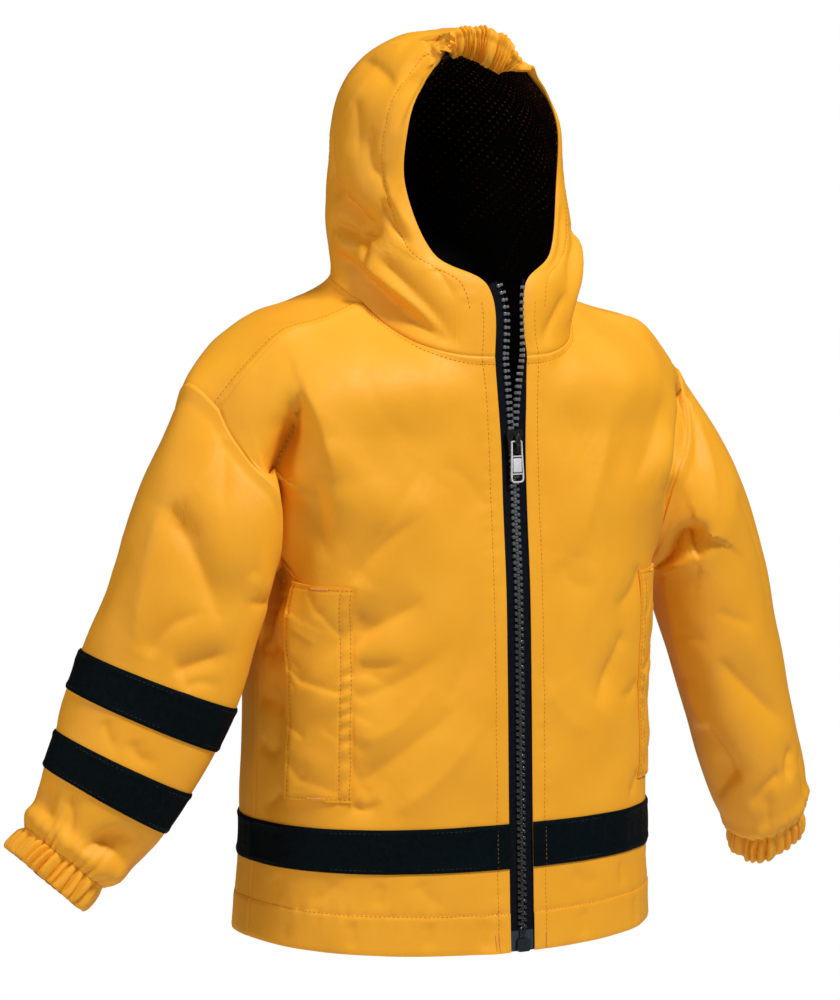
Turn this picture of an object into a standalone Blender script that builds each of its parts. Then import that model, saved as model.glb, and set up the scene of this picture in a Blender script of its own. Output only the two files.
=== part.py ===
"""A child's hooded raincoat in its worn, hollow form.

Metres, +Z up. The wearer faces -Y, so the wearer's left is +X. The origin is the middle of the
neck base at shoulder height. Tables are in millimetres. Every cloth piece is a thin closed wall
made from a smooth grid: rows of section points, joined from row to row by one cubic curve.
"""
import math
from collections import namedtuple

import bpy
import numpy as np
from mathutils import Vector

MM = 0.001

# ---------------------------------------------------------------- driving sizes, millimetres
WALL = 1.4                  # coated cloth
TAPE_WALL = 1.0             # navy tape on the body and the sleeve
LINING_WALL = 1.0
LINING_GAP = 1.3            # between the cloth and its lining
SEAM_GAP = 0.3
RIM_SETBACK = 0.5           # how far the inner edge of a wall stands back from a seam
HEM_LEVEL = -391.0
UNDERARM_LEVEL = -165.0
SCOOP = 26.0                # how far the armhole is cut into each panel just above the underarm
SCOOP_TOP = -115.0
TOP_LEVEL = -25.0           # the level that stands for the neck and shoulder seams
BAND_TOP = -311.5
BAND_WIDTH = 27.7
POCKET_TOP = UNDERARM_LEVEL
POCKET_BOTTOM = -295.0
POCKET_SHARES = (0.57, 0.82)
NECK_SHARE = 0.45           # share of a front's width that meets the neck seam
NECK_SHARE_BACK = 0.50

# ---------------------------------------------------------------- body sections
# A row is half a section: from the middle (zip or centre back) to the side or armhole. turn is
# how far round the section goes in degrees, lift raises the middle of the row.
Section = namedtuple("Section", "level mid_x mid_y mid_z out_x out_y out_z turn square lift")

FRONT = (
    Section(HEM_LEVEL, 8.6, -90.5, -391, 137, 11, -385, 90, 2.25, 0),
    Section(-300, 8.6, -88.0, -300, 134, 7, -300, 90, 2.25, 0),
    Section(-225, 8.6, -86.5, -225, 134, 4, -223, 90, 2.25, 0),
    Section(-165, 8.6, -84.5, -165, 136, 0, -162, 90, 2.3, 0),
    Section(-115, 8.6, -80.5, -115, 143, -42, -108, 76, 2.2, 0),
    Section(-78, 8.8, -78.3, -78, 158, -31, -86, 66, 2.1, 6),
    Section(-50, 10.2, -76.8, -50, 165, -19, -69, 60, 2.0, 24),
)
BACK = (
    Section(HEM_LEVEL, 0, 108, -389, 137, 11, -385, 90, 2.2, 0),
    Section(-300, 0, 100, -300, 134, 7, -300, 90, 2.2, 0),
    Section(-225, 0, 96, -225, 134, 4, -223, 90, 2.2, 0),
    Section(-165, 0, 96, -165, 136, 0, -162, 90, 2.2, 0),
    Section(-112, 0, 94, -112, 149, 56, -112, 74, 2.2, 0),
    Section(-70, 0, 87, -62, 166, 46, -72, 66, 2.1, 4),
    Section(-45, 0, 70, -8, 176, 15, -41, 62, 2.0, 25),
)

# ---------------------------------------------------------------- seam curves, wearer's left half
Point = namedtuple("Point", "x y z")
NECK_FRONT = (
    Point(11.5, -75, -25), Point(31, -71, -24), Point(52, -57, -18), Point(64, -38, -8),
    Point(72, -18, 7),
)
NECK_BACK = (Point(72, -18, 7), Point(76, 9, 18), Point(62, 36, 25), Point(34, 50, 28), Point(0, 54, 29))
SHOULDER = (
    Point(72, -18, 7), Point(102, -22, -3), Point(127, -22, -9), Point(146, -19, -26),
    Point(157, -16, -39), Point(167, -10, -56),
)

# ---------------------------------------------------------------- hood sections
# A row is half a ring: rim (or zip edge), widest point at the side, and centre back.
HoodRow = namedtuple("HoodRow", "level rim_x rim_y rim_z side_x side_y side_z back_y back_z")
HOOD = (
    HoodRow(38, 13.4, -70, 18, 79, 2, 48, 74, 60),
    HoodRow(75, 42, -53, 38, 77, 2, 74, 84, 92),
    HoodRow(110, 54, -40, 78, 72, 4, 106, 84, 122),
    HoodRow(145, 54, -42, 113, 64, 4, 134, 70, 150),
    HoodRow(180, 47, -41, 138, 47, -2, 157, 38, 169),
    HoodRow(215, 38, -42, 151, 30, -24, 168, -2, 177),
    HoodRow(242, 34, -45, 157, 22, -44, 166, -44, 173),
    HoodRow(262, 28, -52, 156, 16, -55, 154, -56, 156),
)
ZIP_TOP_LEVEL = HOOD[0].level
HOOD_TOP_LEVEL = HOOD[-1].level
HOOD_SIDE_SHARE = 0.42      # share of a row between the rim and the widest point
CROWN_LEAN = 0.17           # the crown hangs this much lower for each millimetre to the left
CASING_LEVEL = 234          # the elastic casing over the brow starts here
CASING_WALL = 1.4
CASING_GATHERS = 14
CASING_GATHER_HEIGHT = 2.6

# ---------------------------------------------------------------- sleeves
# A row is one ring: centre, half of its longest and shortest width, and how far its inner side
# dips in degrees. The long way runs from the back outer side to the front inner side.
Ring = namedtuple("Ring", "along x y z wide narrow dip")
SLEEVE = {
    "right": (
        Ring(55, 171, 3, -138, 52.0, 43.5, 45),
        Ring(95, 181, 5, -168, 49.0, 38.5, 20),
        Ring(165, 203, 14, -235, 49.5, 35.0, 21),
        Ring(215, 225, 21, -284, 43.0, 33.0, 26),
        Ring(250, 241, 27, -313, 37.0, 29.0, 33),
        Ring(270, 254, 30, -329, 30.0, 25.0, 39),
    ),
    "left": (
        Ring(55, 176, 3, -134, 55.0, 46.0, 47),
        Ring(95, 192, 6, -162, 50.0, 41.0, 24),
        Ring(165, 219, 14, -230, 50.0, 36.0, 20),
        Ring(225, 241, 22, -290, 45.0, 34.0, 22),
        Ring(265, 257, 27, -327, 39.0, 31.0, 24),
        Ring(285, 264, 30, -343, 31.0, 26.0, 24),
    ),
}
SLEEVE_BANDS = {"upper": (150.5, 176.0), "lower": (201.0, 226.5)}
CUFF_LENGTH = 18.0
CUFF_WALL = 1.2
CUFF_GATHERS = 18
CUFF_GATHER_HEIGHT = 2.6

# ---------------------------------------------------------------- largest folds
# A fold runs from one place on its piece to another. Heights are outwards at its start, middle
# and end, and are negative in a valley.
Fold = namedtuple("Fold", "share level to_share to_level width start middle end")
FOLDS = {
    "front_right": (
        Fold(0.74, -56, 0.96, -106, 12, -5, -12, -6),
        Fold(0.70, -62, 0.70, -104, 14, 3, 5, 1),
        Fold(0.60, -196, 0.34, -168, 15, -3, -3, 0),
        Fold(0.42, -288, 0.06, -220, 22, 0, 3, 0),
        Fold(0.62, -146, 0.32, -98, 22, 0, 3, 0),
    ),
    "front_left": (
        Fold(0.88, -50, 0.88, -118, 11, -4, -10, -6),
        Fold(0.76, -70, 0.74, -118, 14, 2, 4, 1),
        Fold(0.44, -212, 0.30, -246, 18, 0, -3, 0),
        Fold(0.36, -76, 0.20, -150, 22, 0, 3, 0),
    ),
    "back": (
        Fold(0.86, -92, 0.60, -190, 16, -3, -5, 0),
        Fold(-0.86, -90, -0.62, -182, 16, -3, -5, 0),
        Fold(-0.20, -120, -0.32, -270, 26, 0, 4, 0),
        Fold(0.28, -150, 0.16, -300, 26, 0, 3, 0),
    ),
    "sleeve_right": (
        Fold(0.34, 14, 0.29, 48, 10, -2, -6, 0),
        Fold(0.42, 62, 0.27, 98, 13, -2, -5, -2),
        Fold(0.31, 142, 0.21, 120, 9, -1, -4, -3),
        Fold(0.29, 250, 0.19, 240, 8, -2, -5, -3),
        Fold(0.62, 90, 0.80, 130, 14, 0, -5, -2),
    ),
    "sleeve_left": (
        Fold(0.12, 56, 0.19, 64, 9, -3, -7, -2),
        Fold(0.17, 140, 0.28, 214, 12, -2, -5, -1),
        Fold(0.09, 224, 0.14, 226, 8, -3, -4, -1),
        Fold(0.60, 96, 0.82, 140, 14, 0, -5, -2),
    ),
    "hood": (
        Fold(-0.48, 106, -0.62, 76, 9, -2, -6, -5),
        Fold(-0.62, 76, -0.86, 92, 9, -5, -5, -2),
        Fold(-0.53, 46, -0.74, 60, 9, -3, -8, -2),
        Fold(-0.58, 24, -0.78, 10, 10, -2, -6, -2),
        Fold(-0.70, 32, -0.86, 12, 9, 3, 7, 2),
        Fold(0.56, 100, 0.62, 30, 10, -2, -5, -3),
        Fold(0.72, 60, 0.80, 14, 8, 2, 5, 2),
        Fold(-0.14, 70, 0.16, 64, 14, 0, -5, 0),
    ),
}
FOLD_SAMPLES = 25
SEAM_FADE = 12.0            # folds die away over this distance before a seam

# ---------------------------------------------------------------- grid lines of the pieces
BODY_LEVELS = (HEM_LEVEL, -367, BAND_TOP - BAND_WIDTH, BAND_TOP, POCKET_BOTTOM, -263, -231, -199,
               UNDERARM_LEVEL, -159, -148, -130, -112, -96, -80, -66, -52, -42, -33, TOP_LEVEL)
FRONT_SHARES = (0, 0.1, 0.2, 0.3, 0.38, NECK_SHARE, POCKET_SHARES[0], 0.65, 0.73,
                POCKET_SHARES[1], 0.91, 1)
BACK_NECK_SHARES = (0, 0.125, 0.25, 0.375, NECK_SHARE_BACK)
HOOD_LEVELS = (0, 12, 24, ZIP_TOP_LEVEL, 56, 75, 97, 120, 145, 168, 190, 213, CASING_LEVEL)
STATIONS = {
    "right": (0, 10, 22, 36, 52, 70, 90, 110, 130, 150.5, 163, 176, 201, 214, 226.5, 240, 252, 262, 270),
    "left": (0, 10, 22, 36, 52, 72, 95, 120, 145, 170, 195, 215, 235, 250, 265, 276, 285),
}
GATHER_STEPS = 4            # grid lines in each gather

# ---------------------------------------------------------------- zip, millimetres
TOOTH_REACH = 8.6           # from the edge of a front to the tips of its teeth
TEETH_WIDTH = 3.0
TEETH_BACK, TEETH_FRONT = -2.3, 0.5
TAPE_BACK, TAPE_FRONT = -1.6, -0.7
SLIDER_LEVEL = -77.5
SLIDER_LENGTH = 15.0
SLIDER_PLATE = 1.2
WEDGE_HALF_WIDTH = 0.4
BRIDGE_HALF_WIDTH = 1.3
BRIDGE_UNDERSIDE = 4.7      # height over the zip edge
HINGE_HEIGHT = 3.35
PULL_LENGTH = 25.0
PULL_WIDTH = 9.2
PULL_THICKNESS = 1.3
EYE_HALF_WIDTH = 2.2
BOX_TOP, BOX_BOTTOM = -383.0, -391.0
BOX_WIDTH = 9.0

COLOURS = {                 # base colour, roughness, metallic
    "coated_cloth": ((0.87, 0.40, 0.03), 0.45, 0.0),
    "navy_tape": ((0.006, 0.016, 0.024), 0.7, 0.0),
    "black_mesh": ((0.004, 0.004, 0.005), 0.9, 0.0),
    "moulded_teeth": ((0.01, 0.02, 0.03), 0.5, 0.0),
    "dark_metal": ((0.03, 0.03, 0.035), 0.35, 0.9),
    "bright_metal": ((0.65, 0.66, 0.68), 0.3, 1.0),
}


# ---------------------------------------------------------------- curves
def smooth(knots, values, at):
    """Cubic curve through table values, its slope at a knot taken from both neighbours."""
    knots = np.asarray(knots, float)
    values = np.asarray(values, float)
    at = np.clip(np.asarray(at, float), knots[0], knots[-1])
    gap = np.diff(knots)
    column = (-1,) + (1,) * (values.ndim - 1)
    slope = np.diff(values, axis=0) / gap.reshape(column)
    before, after = gap[:-1].reshape(column), gap[1:].reshape(column)
    tangent = np.empty_like(values)
    tangent[1:-1] = (after * slope[:-1] + before * slope[1:]) / (before + after)
    tangent[0] = (3 * slope[0] - tangent[1]) / 2
    tangent[-1] = (3 * slope[-1] - tangent[-2]) / 2
    part = np.clip(np.searchsorted(knots, at, side="right") - 1, 0, len(gap) - 1)
    step = gap[part].reshape(column)
    t = ((at - knots[part]) / gap[part]).reshape(column)
    return ((2 * t ** 3 - 3 * t ** 2 + 1) * values[part]
            + (t ** 3 - 2 * t ** 2 + t) * step * tangent[part]
            + (3 * t ** 2 - 2 * t ** 3) * values[part + 1]
            + (t ** 3 - t ** 2) * step * tangent[part + 1])


def lengths_along(points):
    """Distance from the first point to each point, along the line."""
    return np.concatenate(([0.0], np.cumsum(np.linalg.norm(np.diff(points, axis=0), axis=1))))


def even(points, share):
    """Points of a fine line at the given shares of its length."""
    along = lengths_along(points)
    return np.stack([np.interp(np.asarray(share) * along[-1], along, points[:, k]) for k in range(3)], 1)


def seam(points, share):
    """Points of a seam at the given shares of its length."""
    points = np.array(points, float)
    fine = smooth(lengths_along(points), points, np.linspace(0, lengths_along(points)[-1], 121))
    return even(fine, share)


# ---------------------------------------------------------------- body
def section_line(row, share):
    """Half a body section at the given shares of its length, from the middle outwards."""
    fine = np.linspace(0, 1, 121)
    turn = math.radians(row.turn)
    power = 2 / row.square
    across = (np.sin(fine * turn) / math.sin(turn)) ** power
    end = max(math.cos(turn), 0.0) ** power
    inwards = (1 - np.clip(np.cos(fine * turn), 0, 1) ** power) / (1 - end)
    line = np.stack([
        row.mid_x + (row.out_x - row.mid_x) * across,
        row.mid_y + (row.out_y - row.mid_y) * inwards,
        row.mid_z + (row.out_z - row.mid_z) * fine + row.lift * np.sin(math.pi * fine),
    ], 1)
    return even(line, share)


def top_line(neck, neck_share, share):
    """Neck seam and then shoulder seam of a front or of half the back."""
    share = np.asarray(share, float)
    on_neck = share <= neck_share
    line = np.empty((len(share), 3))
    line[on_neck] = seam(neck, share[on_neck] / neck_share)
    line[~on_neck] = seam(SHOULDER, (share[~on_neck] - neck_share) / (1 - neck_share))
    return line


def body_grid(rows, neck, neck_share, levels, share):
    """Grid of a front or of half the back on the wearer's left: one line for each level."""
    levels = np.asarray(levels, float)
    with_edge = np.append(share, 1.0)
    lines = [section_line(row, with_edge) for row in rows] + [top_line(neck, neck_share, with_edge)]
    grid = smooth([row.level for row in rows] + [TOP_LEVEL], np.array(lines), levels)
    near_edge = (np.clip((share - 0.7) / 0.3, 0, 1) ** 2)[None, :, None]
    below = [row for row in rows if row.level <= UNDERARM_LEVEL]
    side_seam = smooth([row.level for row in below], [(row.out_x, row.out_y, row.out_z) for row in below],
                       levels)
    shift = np.where((levels <= UNDERARM_LEVEL)[:, None], side_seam - grid[:, -1], 0)
    rise = np.clip((levels - UNDERARM_LEVEL) / (SCOOP_TOP - UNDERARM_LEVEL), 0, 1)
    shift[:, 1] += np.sign(rows[0].mid_y) * SCOOP * 2.6 * np.sqrt(rise) * (1 - rise) ** 2
    return grid[:, :-1] + shift[:, None, :] * near_edge


def back_half_shares():
    """Shares of the back whose shoulder points are also points of the front's shoulder seam."""
    on_shoulder = [NECK_SHARE_BACK + (1 - NECK_SHARE_BACK) * (share - NECK_SHARE) / (1 - NECK_SHARE)
                   for share in FRONT_SHARES if share > NECK_SHARE]
    return list(BACK_NECK_SHARES) + on_shoulder


def mirrored(shares):
    """The shares of one half, from its middle, on both sides of the middle."""
    return np.array([-share for share in shares[:0:-1]] + list(shares))


# ---------------------------------------------------------------- hood
def hood_line(row, share):
    """Half a hood ring at the given shares of its length, from the rim to the centre back."""
    quarter = np.linspace(0, math.pi / 2, 61)
    sine, cosine = np.sin(quarter), np.cos(quarter)
    front = np.stack([
        row.rim_x + (row.side_x - row.rim_x) * sine,
        row.side_y + (row.rim_y - row.side_y) * cosine,
        row.side_z + (row.rim_z - row.side_z) * cosine,
    ], 1)
    back = np.stack([
        row.side_x * cosine,
        row.side_y + (row.back_y - row.side_y) * sine,
        row.side_z + (row.back_z - row.side_z) * sine,
    ], 1)
    in_front = share <= HOOD_SIDE_SHARE
    line = np.empty((len(share), 3))
    line[in_front] = even(front, share[in_front] / HOOD_SIDE_SHARE)
    line[~in_front] = even(back, (share[~in_front] - HOOD_SIDE_SHARE) / (1 - HOOD_SIDE_SHARE))
    return line


def hood_half_shares():
    """Shares of the hood, from the centre back, whose points on the neck seam are the body's."""
    front = lengths_along(seam(NECK_FRONT, np.linspace(0, 1, 121)))[-1]
    back = lengths_along(seam(NECK_BACK, np.linspace(0, 1, 121)))[-1]
    part = back / (front + back)
    on_back = [share / NECK_SHARE_BACK * part for share in BACK_NECK_SHARES]
    on_front = [1 - share / NECK_SHARE * (1 - part) for share in FRONT_SHARES if share < NECK_SHARE]
    return on_back + on_front[::-1]


def neck_line(share):
    """Half the neck seam at the given shares of its length, from the zip to the centre back."""
    front = lengths_along(seam(NECK_FRONT, np.linspace(0, 1, 121)))[-1]
    back = lengths_along(seam(NECK_BACK, np.linspace(0, 1, 121)))[-1]
    part = front / (front + back)
    in_front = share <= part
    line = np.empty((len(share), 3))
    line[in_front] = seam(NECK_FRONT, share[in_front] / part)
    line[~in_front] = seam(NECK_BACK, (share[~in_front] - part) / (1 - part))
    return line


# ---------------------------------------------------------------- plain forms of the cloth pieces
def front_form(levels, shares):
    """A front on the wearer's left."""
    return body_grid(FRONT, NECK_FRONT, NECK_SHARE, levels, np.asarray(shares, float))


def back_form(levels, shares):
    """The back: shares run from -1, the right side seam, over 0, the centre back, to 1."""
    shares = np.asarray(shares, float)
    grid = body_grid(BACK, NECK_BACK[::-1], NECK_SHARE_BACK, levels, np.abs(shares))
    grid[:, :, 0] *= np.where(shares < 0, -1, 1)
    return grid


def hood_form(levels, shares):
    """The hood: shares run from -1, the right rim, over 0, the centre back, to 1, the left rim."""
    shares = np.asarray(shares, float)
    levels = np.asarray(levels, float)
    from_rim = 1 - np.abs(shares)
    lines = [neck_line(from_rim)] + [hood_line(row, from_rim) for row in HOOD]
    grid = smooth([0] + [row.level for row in HOOD], np.array(lines), levels)
    grid[:, :, 0] *= np.where(shares < 0, -1, 1)
    weight = np.clip((levels - 130) / (HOOD_TOP_LEVEL - 130), 0, 1)
    grid[:, :, 2] -= CROWN_LEAN * weight[:, None] * grid[:, :, 0]
    return grid


def sleeve_form(side, start, levels):
    """A sleeve on the wearer's left, from the armhole ring: one ring of points for each station."""
    rings = SLEEVE[side]
    centres = np.array([(ring.x, ring.y, ring.z) for ring in rings], float)
    axis = np.gradient(centres, axis=0)
    around = lengths_along(np.vstack([start, start[:1]]))
    angle = 2 * math.pi * around[:-1] / around[-1]
    lines = [start]
    for ring, centre, along in zip(rings, centres, axis):
        ahead = np.cross((1, 0, 0), along)
        ahead /= np.linalg.norm(ahead) * -np.sign(ahead[1])
        dip = math.radians(ring.dip)
        inwards = np.array((-math.cos(dip), 0, -math.sin(dip)))
        slant = angle - math.pi / 4
        radius = ring.wide * ring.narrow / np.hypot(ring.narrow * np.cos(slant), ring.wide * np.sin(slant))
        lines.append(centre + radius[:, None] * (np.cos(angle)[:, None] * inwards
                                                 + np.sin(angle)[:, None] * ahead))
    return smooth([0] + [ring.along for ring in rings], np.array(lines), levels)


# ---------------------------------------------------------------- folds and walls
def normals(grid, centre, closed=False):
    """Unit normals of a grid, away from the centre, a point or one point for each row."""
    if closed:
        across = np.roll(grid, -1, axis=1) - np.roll(grid, 1, axis=1)
    else:
        across = np.gradient(grid, axis=1)
    normal = np.cross(across, np.gradient(grid, axis=0))
    normal /= np.linalg.norm(normal, axis=2)[:, :, None]
    outwards = np.sum(normal * (grid - np.asarray(centre, float).reshape(-1, 1, 3)))
    return normal * np.sign(outwards)


def fold_heights(grid, form, folds):
    """How far each grid point moves out: the sum of all folds of its piece."""
    height = np.zeros(grid.shape[:2])
    step = np.linspace(0, 1, FOLD_SAMPLES)
    for fold in folds:
        levels = fold.level + (fold.to_level - fold.level) * step
        shares = fold.share + (fold.to_share - fold.share) * step
        line = form(levels, shares)
        distance = np.linalg.norm(grid[:, :, None] - line, axis=3)
        nearest = np.argmin(distance, axis=2)
        along = smooth([0, 0.5, 1], [fold.start, fold.middle, fold.end], step)[nearest]
        height += along * np.exp(-(np.min(distance, axis=2) / fold.width) ** 2)
    return height


def fade(distance):
    """0 at a seam, rising smoothly to 1."""
    share = np.clip(np.abs(distance) / SEAM_FADE, 0, 1)
    return share * share * (3 - 2 * share)


def front_surface(side, levels, shares):
    """Outer points and normals of a front, with its folds, on the wearer's left."""
    levels, shares = np.asarray(levels, float), np.asarray(shares, float)
    grid = front_form(levels, shares)
    normal = normals(grid, (0, 0, -150))
    to_side = fade((1 - shares[None, :]) * 180)
    above = np.clip((levels - UNDERARM_LEVEL) / 20, 0, 1)[:, None]
    keep = fade(levels - TOP_LEVEL)[:, None] * fade(shares * 180)[None, :]
    keep = keep * (above + (1 - above) * to_side)
    height = fold_heights(grid, lambda a, b: pairs(front_form, a, b), FOLDS["front_" + side]) * keep
    return grid + normal * height[:, :, None], normal


def back_surface(levels, shares):
    levels, shares = np.asarray(levels, float), np.asarray(shares, float)
    grid = back_form(levels, shares)
    normal = normals(grid, (0, 0, -150))
    keep = fade(levels - TOP_LEVEL)[:, None] * fade((1 - np.abs(shares)) * 190)[None, :]
    height = fold_heights(grid, lambda a, b: pairs(back_form, a, b), FOLDS["back"]) * keep
    return grid + normal * height[:, :, None], normal


def hood_surface(levels, shares):
    levels, shares = np.asarray(levels, float), np.asarray(shares, float)
    grid = hood_form(levels, shares)
    normal = normals(grid, (0, 10, 80))
    keep = fade(levels)[:, None] * fade((1 - np.abs(shares)) * 170)[None, :]
    height = fold_heights(grid, lambda a, b: pairs(hood_form, a, b), FOLDS["hood"]) * keep
    return grid + normal * height[:, :, None], normal


def pairs(form, levels, shares):
    """Points of a form at pairs of level and share."""
    grid = form(levels, shares)
    return grid[np.arange(len(levels)), np.arange(len(levels))]


def armhole(side, levels):
    """Armhole ring on the wearer's left: from the underarm up the front and down the back."""
    levels = [level for level in levels if level >= UNDERARM_LEVEL]
    front, _ = front_surface(side, levels, (0.97, 1.0))
    back, _ = back_surface(levels, (0.97, 1.0))
    return np.vstack([front[:, 1], back[-2:0:-1, 1]])


def sleeve_surface(side, stations, body_levels):
    """Outer points and normals of a sleeve, with its folds, on the wearer's left."""
    stations = np.asarray(stations, float)
    start = armhole(side, body_levels)
    grid = sleeve_form(side, start, stations)
    normal = normals(grid, grid.mean(axis=1), closed=True)
    around = lengths_along(np.vstack([start, start[:1]]))
    ring_share = around[:-1] / around[-1]

    def place(levels, shares):
        rings = sleeve_form(side, start, levels)
        turned = np.vstack([[np.interp(share, np.append(ring_share, 1), np.append(ring[:, k], ring[0, k]))
                             for k in range(3)] for ring, share in zip(rings, shares)])
        return turned

    keep = fade(stations)[:, None] * fade(stations[-1] - stations)[:, None]
    height = fold_heights(grid, place, FOLDS["sleeve_" + side]) * keep
    return grid + normal * height[:, :, None], normal


def set_back(grid, gap, edges):
    """Move the named borders of a grid towards its inside."""
    grid = grid.copy()
    views = {
        "first": (grid[:, 0], grid[:, 1]), "last": (grid[:, -1], grid[:, -2]),
        "bottom": (grid[0], grid[1]), "top": (grid[-1], grid[-2]),
    }
    for edge in edges:
        border, inside = views[edge]
        step = inside - border
        border += step * (gap / np.linalg.norm(step, axis=1))[:, None]
    return grid


# ---------------------------------------------------------------- Blender objects
def material(name):
    """The Principled material of a name in COLOURS, made once."""
    if name in bpy.data.materials:
        return bpy.data.materials[name]
    made = bpy.data.materials.new(name)
    made.use_nodes = True
    shader = made.node_tree.nodes["Principled BSDF"]
    colour, roughness, metallic = COLOURS[name]
    shader.inputs["Base Color"].default_value = (*colour, 1)
    shader.inputs["Roughness"].default_value = roughness
    shader.inputs["Metallic"].default_value = metallic
    return made


def add_object(name, points, faces, material_name, smooth_angle=50):
    """An object from points in millimetres, its faces turned outwards."""
    points = np.asarray(points, float) * MM
    volume = 0.0
    for face in faces:
        first = points[face[0]]
        for second, third in zip(face[1:-1], face[2:]):
            volume += np.dot(first, np.cross(points[second], points[third]))
    if volume < 0:
        faces = [tuple(reversed(face)) for face in faces]
    mesh = bpy.data.meshes.new(name)
    mesh.from_pydata(points.tolist(), [], faces)
    mesh.materials.append(material(material_name))
    mesh.shade_smooth()
    mesh.set_sharp_from_angle(angle=math.radians(smooth_angle))
    made = bpy.data.objects.new(name, mesh)
    bpy.context.scene.collection.objects.link(made)
    return made


def wall(name, outer, inner, material_name, closed=False):
    """A closed wall between an outer and an inner grid. Both are cut along the same diagonals."""
    rows, columns = outer.shape[:2]
    triangles = []
    for row in range(rows - 1):
        for column in range(columns if closed else columns - 1):
            here, above = row * columns, (row + 1) * columns
            beside = (column + 1) % columns
            triangles.append((here + column, here + beside, above + beside))
            triangles.append((here + column, above + beside, above + column))
    count = rows * columns
    edges = {(face[k], face[(k + 1) % 3]) for face in triangles for k in range(3)}
    faces = triangles + [tuple(count + index for index in reversed(face)) for face in triangles]
    faces += [(b, a, count + a, count + b) for a, b in sorted(edges) if (b, a) not in edges]
    points = np.vstack([outer.reshape(-1, 3), inner.reshape(-1, 3)])
    return add_object(name, points, faces, material_name)


def cloth_wall(name, outer, normal, seams, material_name="coated_cloth", thick=WALL, closed=False):
    """A cloth piece: its wall lies inside its outer points, and stands back from its seams."""
    inner = outer - normal * thick
    return wall(name, set_back(outer, SEAM_GAP / 2, seams),
                set_back(inner, SEAM_GAP / 2 + RIM_SETBACK, seams), material_name, closed)


def laid_on(name, outer, normal, seams, material_name, thick, closed=False):
    """A strip or patch that lies on a piece, made from the piece's own outer points."""
    face = set_back(outer, SEAM_GAP / 2, seams)
    return wall(name, face + normal * (SEAM_GAP + thick), face + normal * SEAM_GAP, material_name, closed)


def on_side(side, grid):
    """A grid of the wearer's left, put on its own side."""
    return grid * (1 if side == "left" else -1, 1, 1)


# ---------------------------------------------------------------- pieces
def make_front(side):
    outer, normal = front_surface(side, BODY_LEVELS, FRONT_SHARES)
    outer, normal = on_side(side, outer), on_side(side, normal)
    cloth_wall("front_" + side, outer, normal, ("last", "top"))
    low = BODY_LEVELS.index(BAND_TOP - BAND_WIDTH)
    high = BODY_LEVELS.index(BAND_TOP)
    laid_on("hem_band_" + side, outer[low:high + 1], normal[low:high + 1], ("last",), "navy_tape", TAPE_WALL)
    rows = slice(BODY_LEVELS.index(POCKET_BOTTOM), BODY_LEVELS.index(POCKET_TOP) + 1)
    columns = slice(FRONT_SHARES.index(POCKET_SHARES[0]), FRONT_SHARES.index(POCKET_SHARES[1]) + 1)
    laid_on("pocket_" + side, outer[rows, columns], normal[rows, columns], (), "coated_cloth", WALL)


def make_back():
    shares = mirrored(back_half_shares())
    outer, normal = back_surface(BODY_LEVELS, shares)
    cloth_wall("back", outer, normal, ("first", "last", "top"))
    low = BODY_LEVELS.index(BAND_TOP - BAND_WIDTH)
    high = BODY_LEVELS.index(BAND_TOP)
    laid_on("hem_band_back", outer[low:high + 1], normal[low:high + 1], ("first", "last"),
            "navy_tape", TAPE_WALL)
    rows = slice(BODY_LEVELS.index(-130), BODY_LEVELS.index(-33) + 1)
    columns = slice(1, len(shares) - 1)
    lining = outer[rows, columns] - normal[rows, columns] * (WALL + LINING_GAP)
    cloth_wall("yoke_lining", lining, normal[rows, columns], (), "black_mesh", LINING_WALL)


def make_sleeve(side):
    stations = STATIONS[side]
    outer, normal = sleeve_surface(side, stations, BODY_LEVELS)
    outer, normal = on_side(side, outer), on_side(side, normal)
    cloth_wall("sleeve_" + side, outer, normal, ("bottom", "top"), closed=True)
    if side == "right":
        for place, (low, high) in SLEEVE_BANDS.items():
            rows = slice(stations.index(low), stations.index(high) + 1)
            laid_on("sleeve_band_" + place, outer[rows], normal[rows], (), "navy_tape", TAPE_WALL, True)
    make_cuff(side, outer)


def make_cuff(side, sleeve):
    """A gathered elastic casing that carries on from the last ring of the sleeve."""
    last, before = sleeve[-1], sleeve[-2]
    along = (last - before).mean(axis=0)
    along /= np.linalg.norm(along)
    centre = last.mean(axis=0)
    count = CUFF_GATHERS * GATHER_STEPS
    ring_share = np.arange(count) / count
    closed_ring = np.vstack([last, last[:1]])
    ring = even(closed_ring, ring_share)
    outwards = ring - centre
    outwards -= np.outer(outwards @ along, along)
    outwards /= np.linalg.norm(outwards, axis=1)[:, None]
    wave = 0.5 - 0.5 * np.cos(2 * math.pi * CUFF_GATHERS * ring_share)
    rows = []
    for share, swell in ((0.0, 0.35), (0.25, 0.9), (0.6, 1.0), (1.0, 0.8)):
        lift = CUFF_GATHER_HEIGHT * wave * swell
        rows.append(ring + along * (SEAM_GAP + share * CUFF_LENGTH) + outwards * lift[:, None])
    outer = np.array(rows)
    inner = np.array([row - outwards * (np.sum((row - ring) * outwards, axis=1) + CUFF_WALL)[:, None]
                      for row in rows])
    wall("cuff_" + side, outer, inner, "coated_cloth", closed=True)


def make_hood():
    half = hood_half_shares()
    shares = mirrored(half)
    outer, normal = hood_surface(HOOD_LEVELS, shares)
    right, left = slice(0, len(half)), slice(len(half) - 1, None)
    cloth_wall("hood_right", outer[:, right], normal[:, right], ("last", "bottom", "top"))
    cloth_wall("hood_left", outer[:, left], normal[:, left], ("first", "bottom", "top"))
    backed = outer[:-1] - normal[:-1] * (WALL + LINING_GAP)
    lining = set_back(backed, 2.0, ("first", "last", "bottom"))
    wall("hood_lining", lining, lining - normal[:-1] * LINING_WALL, "black_mesh")
    make_casing(shares, outer[-1], normal[-1])


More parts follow.
